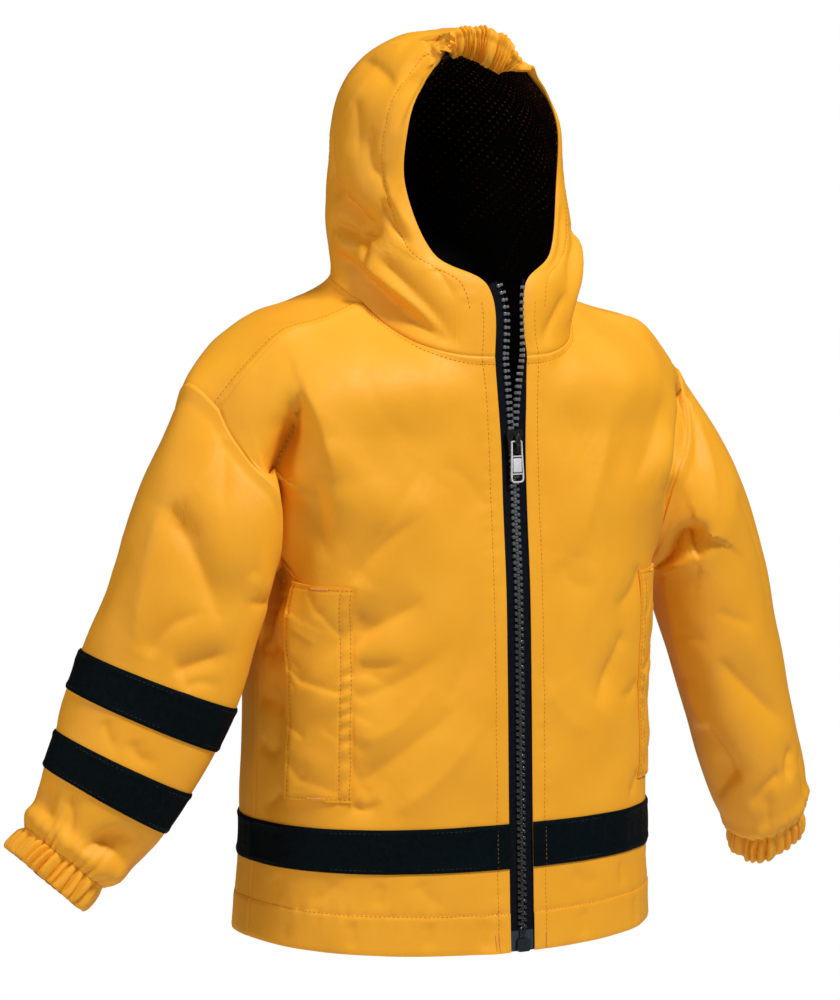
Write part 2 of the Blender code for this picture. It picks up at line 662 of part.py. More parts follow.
def make_casing(hood_shares, edge, edge_normal):
    """The gathered elastic casing over the brow. Its lower edge follows the hood's upper edge."""
    along = np.linspace(0, 1, CASING_GATHERS * GATHER_STEPS + 1)
    shares = 2 * along - 1
    levels = np.linspace(CASING_LEVEL, HOOD_TOP_LEVEL, 4)
    outer, normal = hood_surface(levels, shares)
    for axis in range(3):
        outer[0, :, axis] = np.interp(shares, hood_shares, edge[:, axis])
        normal[0, :, axis] = np.interp(shares, hood_shares, edge_normal[:, axis])
    wave = 0.5 - 0.5 * np.cos(2 * math.pi * CASING_GATHERS * along)
    wave *= np.clip((1 - np.abs(shares)) / 0.45, 0.15, 1)
    swell = np.array([0.3, 0.9, 0.7, 0.45])[:, None] * wave[None, :] * CASING_GATHER_HEIGHT
    wall("hood_casing", set_back(outer + normal * swell[:, :, None], SEAM_GAP / 2, ("bottom",)),
         set_back(outer - normal * CASING_WALL, SEAM_GAP / 2, ("bottom",)), "coated_cloth")


# ---------------------------------------------------------------- zip
def zip_edge(body_levels, hood_levels):
    """The left zip edge of the front and of the hood above it, from low to high."""
    front = front_form(np.asarray(body_levels, float), (0.0, 0.1))[:, 0]
    hood = hood_form(hood_levels, (0.9, 1.0))[:, 1]
    return np.vstack([front, hood])


def zip_frame(edge):
    """Directions at each point of the zip edge: across to the left, and out of the front."""
    along = np.gradient(edge, axis=0)
    along /= np.linalg.norm(along, axis=1)[:, None]
    out = np.cross(along, (1, 0, 0))
    out *= (-np.sign(out[:, 1]) / np.linalg.norm(out, axis=1))[:, None]
    across = np.cross(out, along)
    across *= np.sign(across[:, :1])
    return across, out


def make_zip_tape(side):
    """Half the zip: a tape beside the front's edge with its row of teeth as one bead."""
    foot = (BOX_BOTTOM + 1.5, BOX_TOP + SEAM_GAP, BOX_TOP + 2 * SEAM_GAP)
    body_levels = foot + tuple(level for level in BODY_LEVELS if level > foot[-1] + 5)
    edge = zip_edge(body_levels, [level for level in HOOD_LEVELS if 0 < level <= ZIP_TOP_LEVEL])
    across, out = zip_frame(edge)
    beside_box = BOX_WIDTH / 2 + SEAM_GAP
    tape_edge = TOOTH_REACH - SEAM_GAP
    sections = []
    for index in range(len(edge)):
        low, high = (beside_box, beside_box + 0.5) if index < 2 else (SEAM_GAP / 2, TEETH_WIDTH)
        profile = ((low, TEETH_BACK), (high, TEETH_BACK), (high, TAPE_BACK), (tape_edge, TAPE_BACK),
                   (tape_edge, TAPE_FRONT), (high, TAPE_FRONT), (high, TEETH_FRONT), (low, TEETH_FRONT))
        sections.append([edge[index] + across[index] * (place - TOOTH_REACH) + out[index] * height
                         for place, height in profile])
    sections = on_side(side, np.array(sections))
    rows, count = sections.shape[:2]
    faces = [tuple(range(count)), tuple(reversed(range((rows - 1) * count, rows * count)))]
    for row in range(rows - 1):
        for place in range(count):
            beside = (place + 1) % count
            faces.append((row * count + beside, row * count + place,
                          (row + 1) * count + place, (row + 1) * count + beside))
    add_object("zip_tape_" + side, sections.reshape(-1, 3), faces, "navy_tape")


def prism(name, outline, low, high, material_name):
    """A prism: its outline has points across and along the zip, low and high are heights over it."""
    count = len(outline)
    points = [(x, -low, z) for x, z in outline] + [(x, -high, z) for x, z in outline]
    faces = [tuple(range(count)), tuple(reversed(range(count, 2 * count)))]
    for place in range(count):
        beside = (place + 1) % count
        faces.append((beside, place, count + place, count + beside))
    return add_object(name, points, faces, material_name, 40)


def rectangle(half_width, low, high, corner=0.0):
    """Outline of a rectangle with cut corners, centred across."""
    if corner == 0.0:
        return [(-half_width, low), (half_width, low), (half_width, high), (-half_width, high)]
    return [(-half_width + corner, low), (half_width - corner, low), (half_width, low + corner),
            (half_width, high - corner), (half_width - corner, high), (-half_width + corner, high),
            (-half_width, high - corner), (-half_width, low + corner)]


def combine(target, tool, operation):
    """Unite the target with a tool, or cut it; the tool stays as a guide."""
    change = target.modifiers.new(operation.lower(), "BOOLEAN")
    change.operation = operation
    change.solver = "EXACT"
    change.object = tool
    tool.parent = target
    tool.hide_render = True
    tool.display_type = "WIRE"


def make_slider():
    """Slider, and its pull on a hinge across the zip, in the zip's own slanted frame."""
    edge = zip_edge((SLIDER_LEVEL - 4, SLIDER_LEVEL, SLIDER_LEVEL + 4), (12, 24))
    slant = math.atan2(edge[2][1] - edge[0][1], edge[2][2] - edge[0][2])
    place = Vector((0, edge[1][1], edge[1][2])) * MM
    half = SLIDER_LENGTH / 2
    face = TEETH_FRONT + SEAM_GAP
    floor = TEETH_BACK - SEAM_GAP
    crown = [(-4.6, -half), (4.6, -half), (4.9, 0), (5.9, half - 3), (5.2, half), (-5.2, half),
             (-5.9, half - 3), (-4.9, 0)]
    slider = prism("zip_slider", crown, face, face + SLIDER_PLATE, "dark_metal")
    tools = [
        prism("slider_back_plate", rectangle(4.4, -half, half, 1.0), floor - 1.0, floor, "dark_metal"),
        prism("slider_wedge", rectangle(WEDGE_HALF_WIDTH, half - 1.6, half - 0.2), floor - 0.5, face + 0.5,
              "dark_metal"),
        prism("slider_bridge", rectangle(BRIDGE_HALF_WIDTH, -4.2, 4.2, 0.6), BRIDGE_UNDERSIDE,
              BRIDGE_UNDERSIDE + 0.9, "dark_metal"),
        prism("slider_post_low", rectangle(BRIDGE_HALF_WIDTH, -3.9, -2.6), face + 0.5,
              BRIDGE_UNDERSIDE + 0.4, "dark_metal"),
        prism("slider_post_high", rectangle(BRIDGE_HALF_WIDTH, 2.6, 3.9), face + 0.5,
              BRIDGE_UNDERSIDE + 0.4, "dark_metal"),
    ]
    for tool in tools:
        combine(slider, tool, "UNION")
    slider.location = place
    slider.rotation_euler.x = -slant
    hinge = bpy.data.objects.new("pull_hinge", None)
    bpy.context.scene.collection.objects.link(hinge)
    hinge.parent = slider
    hinge.location = (0, -HINGE_HEIGHT * MM, 0)
    width = PULL_WIDTH / 2
    outline = [(-width + 2.4, -PULL_LENGTH), (width - 2.4, -PULL_LENGTH), (width - 0.7, -PULL_LENGTH + 0.7),
               (width, -PULL_LENGTH + 2.4), (width - 0.6, -8), (width - 0.6, 0.7), (-width + 0.6, 0.7),
               (-width + 0.6, -8), (-width, -PULL_LENGTH + 2.4), (-width + 0.7, -PULL_LENGTH + 0.7)]
    low, high = -PULL_THICKNESS / 2, PULL_THICKNESS / 2
    pull = prism("zip_pull", outline, low, high, "bright_metal")
    for name, (eye_low, eye_high) in (("pull_eye", (-8.6, -0.7)), ("pull_window", (-23.6, -19.2))):
        combine(pull, prism(name, rectangle(EYE_HALF_WIDTH, eye_low, eye_high), low - 1, high + 1,
                            "bright_metal"), "DIFFERENCE")
    pull.parent = hinge


def make_box():
    """Retainer box at the foot of the zip."""
    foot = zip_edge((BOX_BOTTOM, BOX_TOP), (12, 24))
    box = prism("zip_box", rectangle(BOX_WIDTH / 2, 0, BOX_TOP - BOX_BOTTOM, 1.2), -3.0, 1.8, "moulded_teeth")
    box.location = Vector((0, foot[0][1], foot[0][2])) * MM
    box.rotation_euler.x = -math.atan2(foot[1][1] - foot[0][1], foot[1][2] - foot[0][2])


def main():
    for old in list(bpy.data.objects):
        bpy.data.objects.remove(old, do_unlink=True)
    for side in ("right", "left"):
        make_front(side)
        make_sleeve(side)
        make_zip_tape(side)
    make_back()
    make_hood()
    make_slider()
    make_box()


if __name__ == "__main__":
    main()
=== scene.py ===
"""Dressing of the child's hooded raincoat: fine cloth walls, stitches, zip teeth and materials.

Works in millimetres and the frame of the part: +Z up, the wearer faces -Y, the wearer's left is +X.
"""
import math
from collections import namedtuple

import bpy
import numpy as np
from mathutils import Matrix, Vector


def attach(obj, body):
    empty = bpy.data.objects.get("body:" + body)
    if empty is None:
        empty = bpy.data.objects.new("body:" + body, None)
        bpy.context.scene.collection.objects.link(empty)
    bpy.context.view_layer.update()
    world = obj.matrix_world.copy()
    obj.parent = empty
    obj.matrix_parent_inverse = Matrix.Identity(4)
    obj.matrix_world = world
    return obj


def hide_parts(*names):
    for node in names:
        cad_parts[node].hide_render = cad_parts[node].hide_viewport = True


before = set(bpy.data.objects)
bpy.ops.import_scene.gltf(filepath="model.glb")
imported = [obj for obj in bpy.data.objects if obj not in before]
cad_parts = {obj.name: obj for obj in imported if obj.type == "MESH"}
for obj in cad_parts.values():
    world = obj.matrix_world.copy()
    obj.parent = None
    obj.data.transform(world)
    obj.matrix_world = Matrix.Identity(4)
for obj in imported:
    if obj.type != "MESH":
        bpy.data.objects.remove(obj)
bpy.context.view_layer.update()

MM = 0.001

# ---------------------------------------------------------------- sizes of the part, millimetres
WALL = 1.0
LINING_WALL = 0.8
LINING_DEPTH = 2.7
HEM_LEVEL = -391.0
HEM_STITCH_LEVEL = -367.0
UNDERARM_LEVEL = -165.0
SCOOP = 26.0                # how deep the armhole is cut out, up to SCOOP_TOP
SCOOP_TOP = -115.0
SCOOP_CURVE = 2.6
SIDE_SHARE = 0.7            # from here to the side a section is drawn to the side seam
ARM_SHARE = 0.78            # from here to the armhole the creases press straight back
TOP_LEVEL = -25.0
BAND_TOP = -311.5
BAND_WIDTH = 27.7
POCKET_TOP = UNDERARM_LEVEL
POCKET_BOTTOM = -295.0
POCKET_SHARES = (0.57, 0.82)
NECK_SHARE = 0.45
NECK_SHARE_BACK = 0.50

# ---------------------------------------------------------------- body sections
Section = namedtuple("Section", "level mid_x mid_y mid_z out_x out_y out_z turn square lift")
FRONT = (
    Section(HEM_LEVEL, 8.6, -90.5, -391, 137, 11, -385, 90, 2.25, 0),
    Section(-300, 8.6, -88.0, -300, 134, 7, -300, 90, 2.25, 0),
    Section(-225, 8.6, -86.5, -225, 134, 4, -223, 90, 2.25, 0),
    Section(-165, 8.6, -84.5, -165, 136, 0, -162, 90, 2.3, 0),
    Section(-115, 8.6, -80.5, -115, 143, -42, -108, 76, 2.2, 0),
    Section(-78, 8.8, -78.3, -78, 158, -31, -86, 66, 2.1, 6),
    Section(-50, 10.2, -76.8, -50, 165, -19, -69, 60, 2.0, 24),
)
BACK = (
    Section(HEM_LEVEL, 0, 108, -389, 137, 11, -385, 90, 2.2, 0),
    Section(-300, 0, 100, -300, 134, 7, -300, 90, 2.2, 0),
    Section(-225, 0, 96, -225, 134, 4, -223, 90, 2.2, 0),
    Section(-165, 0, 96, -165, 136, 0, -162, 90, 2.2, 0),
    Section(-112, 0, 94, -112, 149, 56, -112, 74, 2.2, 0),
    Section(-70, 0, 87, -62, 166, 46, -72, 66, 2.1, 4),
    Section(-45, 0, 70, -8, 176, 15, -41, 62, 2.0, 25),
)
Point = namedtuple("Point", "x y z")
NECK_FRONT = (
    Point(11.5, -75, -25), Point(31, -71, -24), Point(52, -57, -18), Point(64, -38, -8),
    Point(72, -18, 7),
)
NECK_BACK = (Point(72, -18, 7), Point(76, 9, 18), Point(62, 36, 25), Point(34, 50, 28), Point(0, 54, 29))
SHOULDER = (
    Point(72, -18, 7), Point(102, -22, -3), Point(127, -22, -9), Point(146, -19, -26),
    Point(157, -16, -39), Point(167, -10, -56),
)
HoodRow = namedtuple("HoodRow", "level rim_x rim_y rim_z side_x side_y side_z back_y back_z")
HOOD = (
    HoodRow(38, 13.4, -70, 18, 79, 2, 48, 74, 60),
    HoodRow(75, 42, -53, 38, 77, 2, 74, 84, 92),
    HoodRow(110, 54, -40, 78, 72, 4, 106, 84, 122),
    HoodRow(145, 54, -42, 113, 64, 4, 134, 70, 150),
    HoodRow(180, 47, -41, 138, 47, -2, 157, 38, 169),
    HoodRow(215, 38, -42, 151, 30, -24, 168, -2, 177),
    HoodRow(242, 34, -45, 157, 22, -44, 166, -44, 173),
    HoodRow(262, 28, -52, 156, 16, -55, 154, -56, 156),
)
ZIP_TOP_LEVEL = HOOD[0].level
HOOD_TOP_LEVEL = HOOD[-1].level
HOOD_SIDE_SHARE = 0.42
CROWN_LEAN, CROWN_FROM = 0.17, 130.0        # how far the crown drops to the left, and from where
RIM_REACH, RIM_LEVEL, RIM_SPREAD = 5.0, 195.0, 34.0     # outward swing of the right rim
RIM_SHARE = 0.62            # from here to the right rim it swings out
CASING_LEVEL = 234.0
Ring = namedtuple("Ring", "along x y z wide narrow dip")
SLEEVE = {
    "right": (
        Ring(55, 171, 3, -138, 52.0, 43.5, 45),
        Ring(95, 181, 5, -168, 49.0, 38.5, 20),
        Ring(165, 203, 14, -235, 49.5, 35.0, 21),
        Ring(215, 225, 21, -284, 43.0, 33.0, 26),
        Ring(250, 241, 27, -313, 37.0, 29.0, 33),
        Ring(270, 254, 30, -329, 30.0, 25.0, 39),
    ),
    "left": (
        Ring(55, 176, 3, -134, 55.0, 46.0, 47),
        Ring(95, 192, 6, -162, 50.0, 41.0, 24),
        Ring(165, 219, 14, -230, 50.0, 36.0, 20),
        Ring(225, 241, 22, -290, 45.0, 34.0, 22),
        Ring(265, 257, 27, -327, 39.0, 31.0, 24),
        Ring(285, 264, 30, -343, 31.0, 26.0, 24),
    ),
}
SLEEVE_BANDS = {"upper": (150.5, 176.0), "lower": (201.0, 226.5)}
CUFF_LENGTH = 18.0
CUFF_WALL = 1.0

# ---------------------------------------------------------------- largest folds, as in the part
Fold = namedtuple("Fold", "share level to_share to_level width start middle end")
FOLDS = {
    "front_right": (
        Fold(0.84, -62, 0.93, -120, 12, -1, -3, -1),
        Fold(0.68, -62, 0.68, -104, 14, 2, 3, 1),
        Fold(0.60, -196, 0.34, -168, 15, -3, -3, 0),
        Fold(0.42, -288, 0.06, -220, 22, 0, 3, 0),
        Fold(0.62, -146, 0.32, -98, 22, 0, 3, 0),
    ),
    "front_left": (
        Fold(0.88, -50, 0.90, -118, 11, -1, -3, -2),
        Fold(0.76, -70, 0.74, -118, 14, 2, 4, 1),
        Fold(0.44, -212, 0.30, -246, 18, 0, -3, 0),
        Fold(0.36, -76, 0.20, -150, 22, 0, 3, 0),
    ),
    "back": (
        Fold(0.86, -92, 0.60, -190, 16, -3, -5, 0),
        Fold(-0.86, -90, -0.62, -182, 16, -3, -5, 0),
        Fold(-0.20, -120, -0.32, -270, 26, 0, 4, 0),
        Fold(0.28, -150, 0.16, -300, 26, 0, 3, 0),
    ),
    "sleeve_right": (
        Fold(0.42, 62, 0.27, 98, 13, -1, -2, -1),
        Fold(0.31, 142, 0.21, 120, 9, 0, -2, -1),
        Fold(0.29, 250, 0.19, 240, 8, -1, -3, -2),
        Fold(0.62, 90, 0.80, 130, 14, 0, -5, -2),
    ),
    "sleeve_left": (
        Fold(0.10, 46, 0.18, 52, 10, -1, -3, -1),
        Fold(0.17, 140, 0.28, 214, 12, -1, -3, 0),
        Fold(0.09, 224, 0.14, 226, 8, -3, -4, -1),
        Fold(0.60, 96, 0.82, 140, 14, 0, -5, -2),
    ),
    "hood": (
        Fold(-0.48, 96, -0.60, 66, 11, -1, -3, -3),
        Fold(-0.60, 66, -0.86, 84, 11, -3, -3, -1),
        Fold(-0.53, 46, -0.74, 52, 9, -1, -3, -1),
        Fold(-0.58, 20, -0.78, 12, 10, 0, -2, -1),
        Fold(-0.66, 32, -0.84, 14, 9, 1, 3, 1),
        Fold(0.56, 100, 0.62, 30, 10, -2, -5, -3),
        Fold(0.72, 60, 0.80, 14, 8, 2, 5, 2),
        Fold(-0.14, 70, 0.16, 64, 14, 0, -5, 0),
    ),
}
FOLD_SAMPLES, CREASE_SAMPLES = 25, 41       # points along each
CREASE_ROUNDING = 1.0       # how softly a crease turns at its line
SEAM_FADE = 12.0

# ---------------------------------------------------------------- creases, listed one by one
# A crease runs through three places. depth is outwards, so negative in a valley. left and right say
# how far its flanks reach on either side of its run, so a fold can fall steeply on one side alone.
# begin and finish are the shares of the depth at its two ends. Widths and heights are in millimetres.
Crease = namedtuple("Crease", "share level by_share by_level to_share to_level left right depth"
                    " begin finish", defaults=(0.0, 0.0))
CREASE_ROWS = {
    "front_right": (
        (0.775, -58, 0.9, -88, 0.98, -120, 5, 9, -25, 0.3, 0.7),
        (0.81, -62, 0.765, -57, 0.715, -53, 8, 2.5, -7.2, 0.7, 0.2),
        (0.705, -50, 0.7, -72, 0.735, -102, 4, 12, 5.8, 0.6, 0),
        (0.8, -96, 0.81, -127, 0.66, -154, 12, 7, -5.8),
        (0.98, -116, 0.985, -148, 0.955, -200, 4, 11, -20, 0.4, 0.3),
        (0.574, -164, 0.511, -139, 0.351, -119, 8, 6, -2.8),
        (0.59, -150, 0.47, -112, 0.33, -92, 10, 10, -1.9),
        (0.57, -193, 0.43, -184, 0.3, -168, 5, 8, -2.6),
        (0.566, -211, 0.479, -213, 0.372, -209, 6, 4, -2.9),
        (0.574, -233, 0.404, -221, 0.191, -197, 9, 7, -2.8),
        (0.56, -258, 0.4, -246, 0.26, -214, 8, 8, 1.9),
        (0.543, -283, 0.372, -261, 0.12, -226, 10, 7, -3),
        (0.42, -300, 0.24, -276, 0.06, -236, 8, 8, 2.2),
        (0.574, -295, 0.521, -299, 0.46, -293, 4, 3, -3.2),
        (0.25, -236, 0.16, -206, 0.12, -160, 8, 8, -1.4),
        (0.08, -120, 0.18, -98, 0.3, -92, 8, 6, -1.3),
        (0.5, -44, 0.43, -70, 0.3, -84, 9, 9, -1.3),
        (0.96, -186, 0.89, -176, 0.83, -184, 4, 5, -4.9),
        (0.95, -206, 0.88, -208, 0.83, -212, 3.5, 5, -4.3),
        (0.94, -222, 0.88, -246, 0.9, -278, 6, 7, -2.9),
        (0.84, -290, 0.9, -298, 0.96, -304, 4, 4, -1.9),
        (0.33, -344, 0.3, -354, 0.23, -361, 4, 4, -1.4),
        (0.62, -342, 0.66, -354, 0.72, -358, 4, 4, -1.6),
        (0.46, -345, 0.47, -354, 0.45, -363, 3.5, 3.5, -1.3),
        (0.86, -344, 0.84, -354, 0.86, -363, 4, 4, -1.6),
        (0.06, -330, 0.11, -322, 0.19, -306, 5, 5, -1.2),
        (0.568, -200, 0.511, -193, 0.447, -181, 3, 6, -2, 0.8, 0.1),
        (0.572, -191, 0.545, -186, 0.515, -180, 2.6, 4, -1.4, 0.8, 0.1),
        (0.57, -218, 0.51, -218, 0.43, -226, 2.8, 6, -1.8, 0.8, 0.1),
        (0.572, -228, 0.555, -230, 0.53, -234, 2.6, 4, -1.3, 0.8, 0.1),
        (0.572, -240, 0.54, -243, 0.495, -247, 2.6, 5, -1.5, 0.8, 0.1),
        (0.572, -258, 0.548, -261, 0.515, -266, 2.6, 4, -1.4, 0.8, 0.1),
        (0.572, -272, 0.54, -284, 0.489, -296, 2.8, 7, -2.6, 0.8, 0.1),
        (0.975, -238, 0.91, -240, 0.851, -246, 3, 8, -3, 0.5, 0.3),
        (0.985, -262, 0.92, -268, 0.85, -262, 4, 7, -2.6, 0.5, 0.3),
        (0.3, -370, 0.296, -380, 0.315, -389, 3, 3, -1.4),
        (0.1, -370, 0.106, -382, 0.09, -390, 3, 3, -1.3),
        (0.56, -370, 0.552, -380, 0.566, -390, 3, 3, -1.4),
        (0.79, -371, 0.8, -381, 0.786, -390, 3, 3, -1.3),
    ),
    "front_left": (
        (0.93, -40, 0.855, -76, 0.9, -128, 12, 2.5, -15, 0.7, 0.4),
        (0.86, -52, 0.85, -88, 0.87, -120, 5, 9, 2.6),
        (0.69, -58, 0.64, -90, 0.57, -112, 9, 9, -1.9),
        (0.38, -62, 0.34, -112, 0.18, -152, 10, 10, 1.9),
        (0.149, -60, 0.298, -98, 0.34, -142, 10, 10, -1.6),
        (0.44, -200, 0.38, -222, 0.27, -247, 7, 5, -3.2),
        (0.57, -160, 0.49, -178, 0.36, -184, 7, 5, -2.5),
        (0.568, -232, 0.5, -241, 0.44, -236, 5, 4, -2.2),
        (0.14, -150, 0.2, -168, 0.32, -166, 8, 8, -1.4),
        (0.06, -226, 0.15, -250, 0.32, -262, 9, 9, 1.6),
        (0.564, -290, 0.52, -300, 0.46, -304, 4, 4, -2.2),
        (0.94, -190, 0.9, -222, 0.91, -250, 6, 6, -2.6),
        (0.16, -345, 0.23, -353, 0.3, -350, 5, 5, -1.2),
        (0.64, -336, 0.7, -350, 0.72, -362, 4, 4, -1.4),
        (0.42, -345, 0.41, -354, 0.43, -363, 3.5, 3.5, -1.3),
        (0.2, -370, 0.208, -380, 0.194, -390, 3, 3, -1.2),
        (0.5, -370, 0.492, -380, 0.508, -390, 3, 3, -1.2),
    ),
    "back": (
        (0.9, -86, 0.78, -120, 0.56, -196, 6, 9, -3.6),
        (0.93, -132, 0.8, -170, 0.64, -236, 9, 7, -2.3),
        (-0.9, -88, -0.77, -122, -0.58, -192, 9, 6, -3.6),
        (-0.92, -140, -0.82, -176, -0.64, -222, 7, 9, -2.3),
        (-0.18, -104, -0.22, -180, -0.36, -286, 13, 9, 2.6),
        (0.26, -136, 0.22, -220, 0.12, -306, 9, 13, 2.3),
        (0.06, -60, 0.02, -110, 0.08, -164, 10, 10, -1.8),
        (0.46, -236, 0.5, -280, 0.44, -334, 8, 10, -2.2),
        (-0.52, -254, -0.49, -300, -0.54, -352, 10, 8, -2.2),
        (0.34, -50, 0.42, -84, 0.59, -98, 8, 6, -2.1),
        (-0.36, -48, -0.44, -84, -0.61, -94, 6, 8, -2.1),
        (0.62, -60, 0.64, -96, 0.59, -150, 9, 9, 1.7),
        (-0.64, -56, -0.62, -100, -0.56, -140, 9, 9, 1.7),
        (0.01, -300, 0.04, -350, 0.01, -386, 7, 7, -1.4),
        (-0.14, -345, -0.165, -365, -0.15, -388, 5, 5, -1.2),
        (0.3, -346, 0.325, -366, 0.31, -388, 5, 5, -1.2),
        (0.66, -344, 0.64, -354, 0.67, -363, 4, 4, -1.3),
        (-0.76, -344, -0.78, -355, -0.75, -363, 4, 4, -1.3),
    ),
    "sleeve_right": (
        (0.45, 64, 0.32, 80, 0.204, 118, 15, 5, -4.8),
        (0.455, 60, 0.4, 62, 0.34, 68, 4, 8, -2.4),
        (0.465, 60, 0.447, 98, 0.425, 146, 9, 7, 2.3),
        (0.38, 6, 0.392, 36, 0.448, 66, 8, 8, 2.1),
        (0.378, 8, 0.345, 22, 0.318, 46, 6, 8, -2.5),
        (0.372, 138, 0.345, 116, 0.26, 100, 8, 3.5, -2.7),
        (0.305, 141, 0.248, 131, 0.18, 119, 4, 6, -3.8),
        (0.27, 149, 0.23, 142, 0.18, 142, 4, 4, -2.1),
        (0.3, 262, 0.27, 246, 0.18, 236, 4, 6, -5.1),
        (0.29, 252, 0.216, 250, 0.14, 257, 4, 4, -4),
        (0.56, 234, 0.459, 256, 0.36, 268, 5, 7, -3.6),
        (0.425, 232, 0.39, 250, 0.33, 264, 4, 5, -3.3),
        (0.5, 232, 0.49, 250, 0.5, 266, 4, 4, -2.7),
        (0.1, 264, 0.125, 246, 0.11, 232, 4, 4, -3),
        (0.6, 264, 0.62, 246, 0.6, 222, 4, 5, -3.3),
        (0.74, 264, 0.7, 244, 0.72, 220, 5, 4, -3.3),
        (0.86, 264, 0.88, 246, 0.87, 228, 4, 4, -3),
        (0.52, 84, 0.565, 110, 0.54, 146, 9, 9, -2.2),
        (0.61, 80, 0.7, 104, 0.85, 128, 9, 5, -3.1),
        (0.18, 50, 0.215, 70, 0.19, 100, 6, 8, -2.1),
        (0.09, 66, 0.15, 80, 0.2, 84, 4, 6, -2.5),
        (0.34, 186, 0.3, 193, 0.24, 190, 4, 4, -2),
        (0.43, 182, 0.4, 190, 0.35, 196, 4, 4, -1.5),
        (0.9, 36, 0.86, 70, 0.9, 104, 8, 8, -3),
        (0.66, 26, 0.69, 60, 0.65, 88, 8, 8, -2.4),
        (0.8, 146, 0.76, 180, 0.8, 214, 8, 8, -2.4),
        (0.6, 150, 0.62, 176, 0.59, 206, 7, 7, 2),
    ),
    "sleeve_left": (
        (0.05, 52, 0.133, 27, 0.196, 42, 13, 2.5, -15, 0.6, 0.8),
        (0.196, 40, 0.186, 55, 0.172, 72, 9, 2, -7, 0.8, 0.3),
        (0.415, 4, 0.334, 18, 0.221, 50, 8, 8, 3.3),
        (0.4, 3, 0.32, 9, 0.24, 16, 4, 5, -2.1),
        (0.061, 80, 0.066, 125, 0.052, 166, 6, 5, 2.5),
        (0.058, 160, 0.066, 184, 0.1, 204, 6, 5, 2.7),
        (0.15, 148, 0.221, 181, 0.345, 220, 10, 3.5, -3.1),
        (0.061, 130, 0.103, 133, 0.14, 139, 3.5, 3.5, -1.2),
        (0.172, 119, 0.215, 130, 0.275, 141, 3.5, 3.5, -1.4),
        (0.08, 190, 0.104, 208, 0.13, 226, 11, 3, -4.4),
        (0.132, 226, 0.075, 236, 0.01, 252, 10, 3, -4),
        (0.25, 239, 0.178, 243, 0.12, 257, 5, 7, -3.5),
        (0.33, 231, 0.28, 238, 0.278, 250, 5, 5, -3.9),
        (0.16, 280, 0.175, 260, 0.2, 244, 4, 4, -3),
        (0.38, 280, 0.37, 256, 0.4, 234, 4, 5, -3.3),
        (0.46, 280, 0.48, 260, 0.46, 240, 4, 4, -2.7),
        (0.56, 280, 0.59, 256, 0.57, 232, 4, 5, -3.3),
        (0.67, 280, 0.66, 262, 0.68, 246, 4, 4, -2.7),
        (0.76, 280, 0.74, 256, 0.77, 230, 5, 4, -3.3),
        (0.88, 280, 0.9, 260, 0.88, 240, 4, 4, -3),
        (0.34, 54, 0.365, 100, 0.33, 156, 9, 9, -2.1),
        (0.61, 88, 0.71, 112, 0.85, 144, 9, 5, -3.1),
        (0.9, 36, 0.86, 74, 0.9, 114, 8, 8, -3),
        (0.48, 112, 0.525, 160, 0.5, 206, 9, 9, -2.4),
        (0.66, 26, 0.69, 60, 0.65, 88, 8, 8, -2.4),
    ),
    "hood": (
        (-0.43, 166, -0.69, 168, -0.88, 160, 13, 4, -3),
        (-0.79, 214, -0.85, 186, -0.845, 160, 4, 5, -2.3),
        (-0.7, 222, -0.77, 196, -0.76, 168, 5, 5, 1.8),
        (-0.99, 186, -0.955, 156, -0.94, 138, 3.5, 3.5, -1.8),
        (-0.49, 200, -0.573, 214, -0.67, 228, 6, 4, -5.4),
        (-0.76, 132, -0.8, 116, -0.86, 110, 5, 3.5, -3),
        (-0.845, 116, -0.88, 106, -0.93, 101, 4, 3.5, -2.4),
        (-0.44, 112, -0.565, 68, -0.86, 92, 16, 3, -10, 0.3, 0.2),
        (-0.4, 84, -0.45, 76, -0.5, 60, 5, 4, -4.1),
        (-0.645, 43, -0.705, 58, -0.81, 82, 4, 6, -6.8),
        (-0.65, 43, -0.575, 40, -0.48, 48, 4, 4, -6.8),
        (-0.64, 46, -0.664, 37, -0.64, 25, 4, 4, -5.9),
        (-0.5, 36, -0.555, 30, -0.566, 18, 4, 5, 2.7),
        (-0.48, 20, -0.7, 15, -0.895, 2, 3.5, 9, -6),
        (-0.64, 31, -0.79, 19, -0.88, 4, 4, 5, 4.1),
        (-0.72, 40, -0.82, 22, -0.9, 2, 7, 6, -5.4),
        (-0.86, 98, -0.896, 84, -0.95, 79, 4, 3.5, -3.8),
        (-0.88, 112, -0.94, 95, -0.968, 82, 3.5, 3.5, 1.9),
        (-0.925, 56, -0.9, 40, -0.912, 24, 4, 4, -1.9),
        (-0.56, 140, -0.66, 128, -0.7, 108, 10, 6, -2.4),
        (-0.22, 230, -0.43, 204, -0.56, 192, 20, 20, -6.5, 0.8, 0.2),
        (-0.28, 150, -0.3, 110, -0.33, 60, 9, 9, -2.4),
        (0.955, 100, 0.952, 66, 0.94, 36, 4, 4, -2.4),
        (0.835, 26, 0.905, 14, 0.94, 3, 4, 5, -3.2),
        (0.831, 88, 0.815, 50, 0.845, 24, 5, 5, -2.6),
        (0.4, 160, 0.56, 150, 0.78, 168, 7, 4, -3),
        (0.54, 108, 0.6, 66, 0.63, 24, 4, 8, -4.1),
        (0.72, 66, 0.77, 40, 0.8, 10, 5, 5, 2.4),
        (0.64, 44, 0.72, 58, 0.8, 80, 6, 4, -4.3),
        (0.3, 106, 0.345, 60, 0.3, 14, 8, 8, -2.3),
        (0.14, 58, 0, 50, -0.16, 62, 6, 8, -3),
        (0.08, 124, 0.105, 90, 0.06, 54, 8, 8, -1.6),
        (-0.06, 42, -0.085, 20, -0.04, 4, 7, 7, -1.9),
        (0.3, 206, 0.42, 192, 0.56, 196, 18, 20, -4.1),
    ),
}
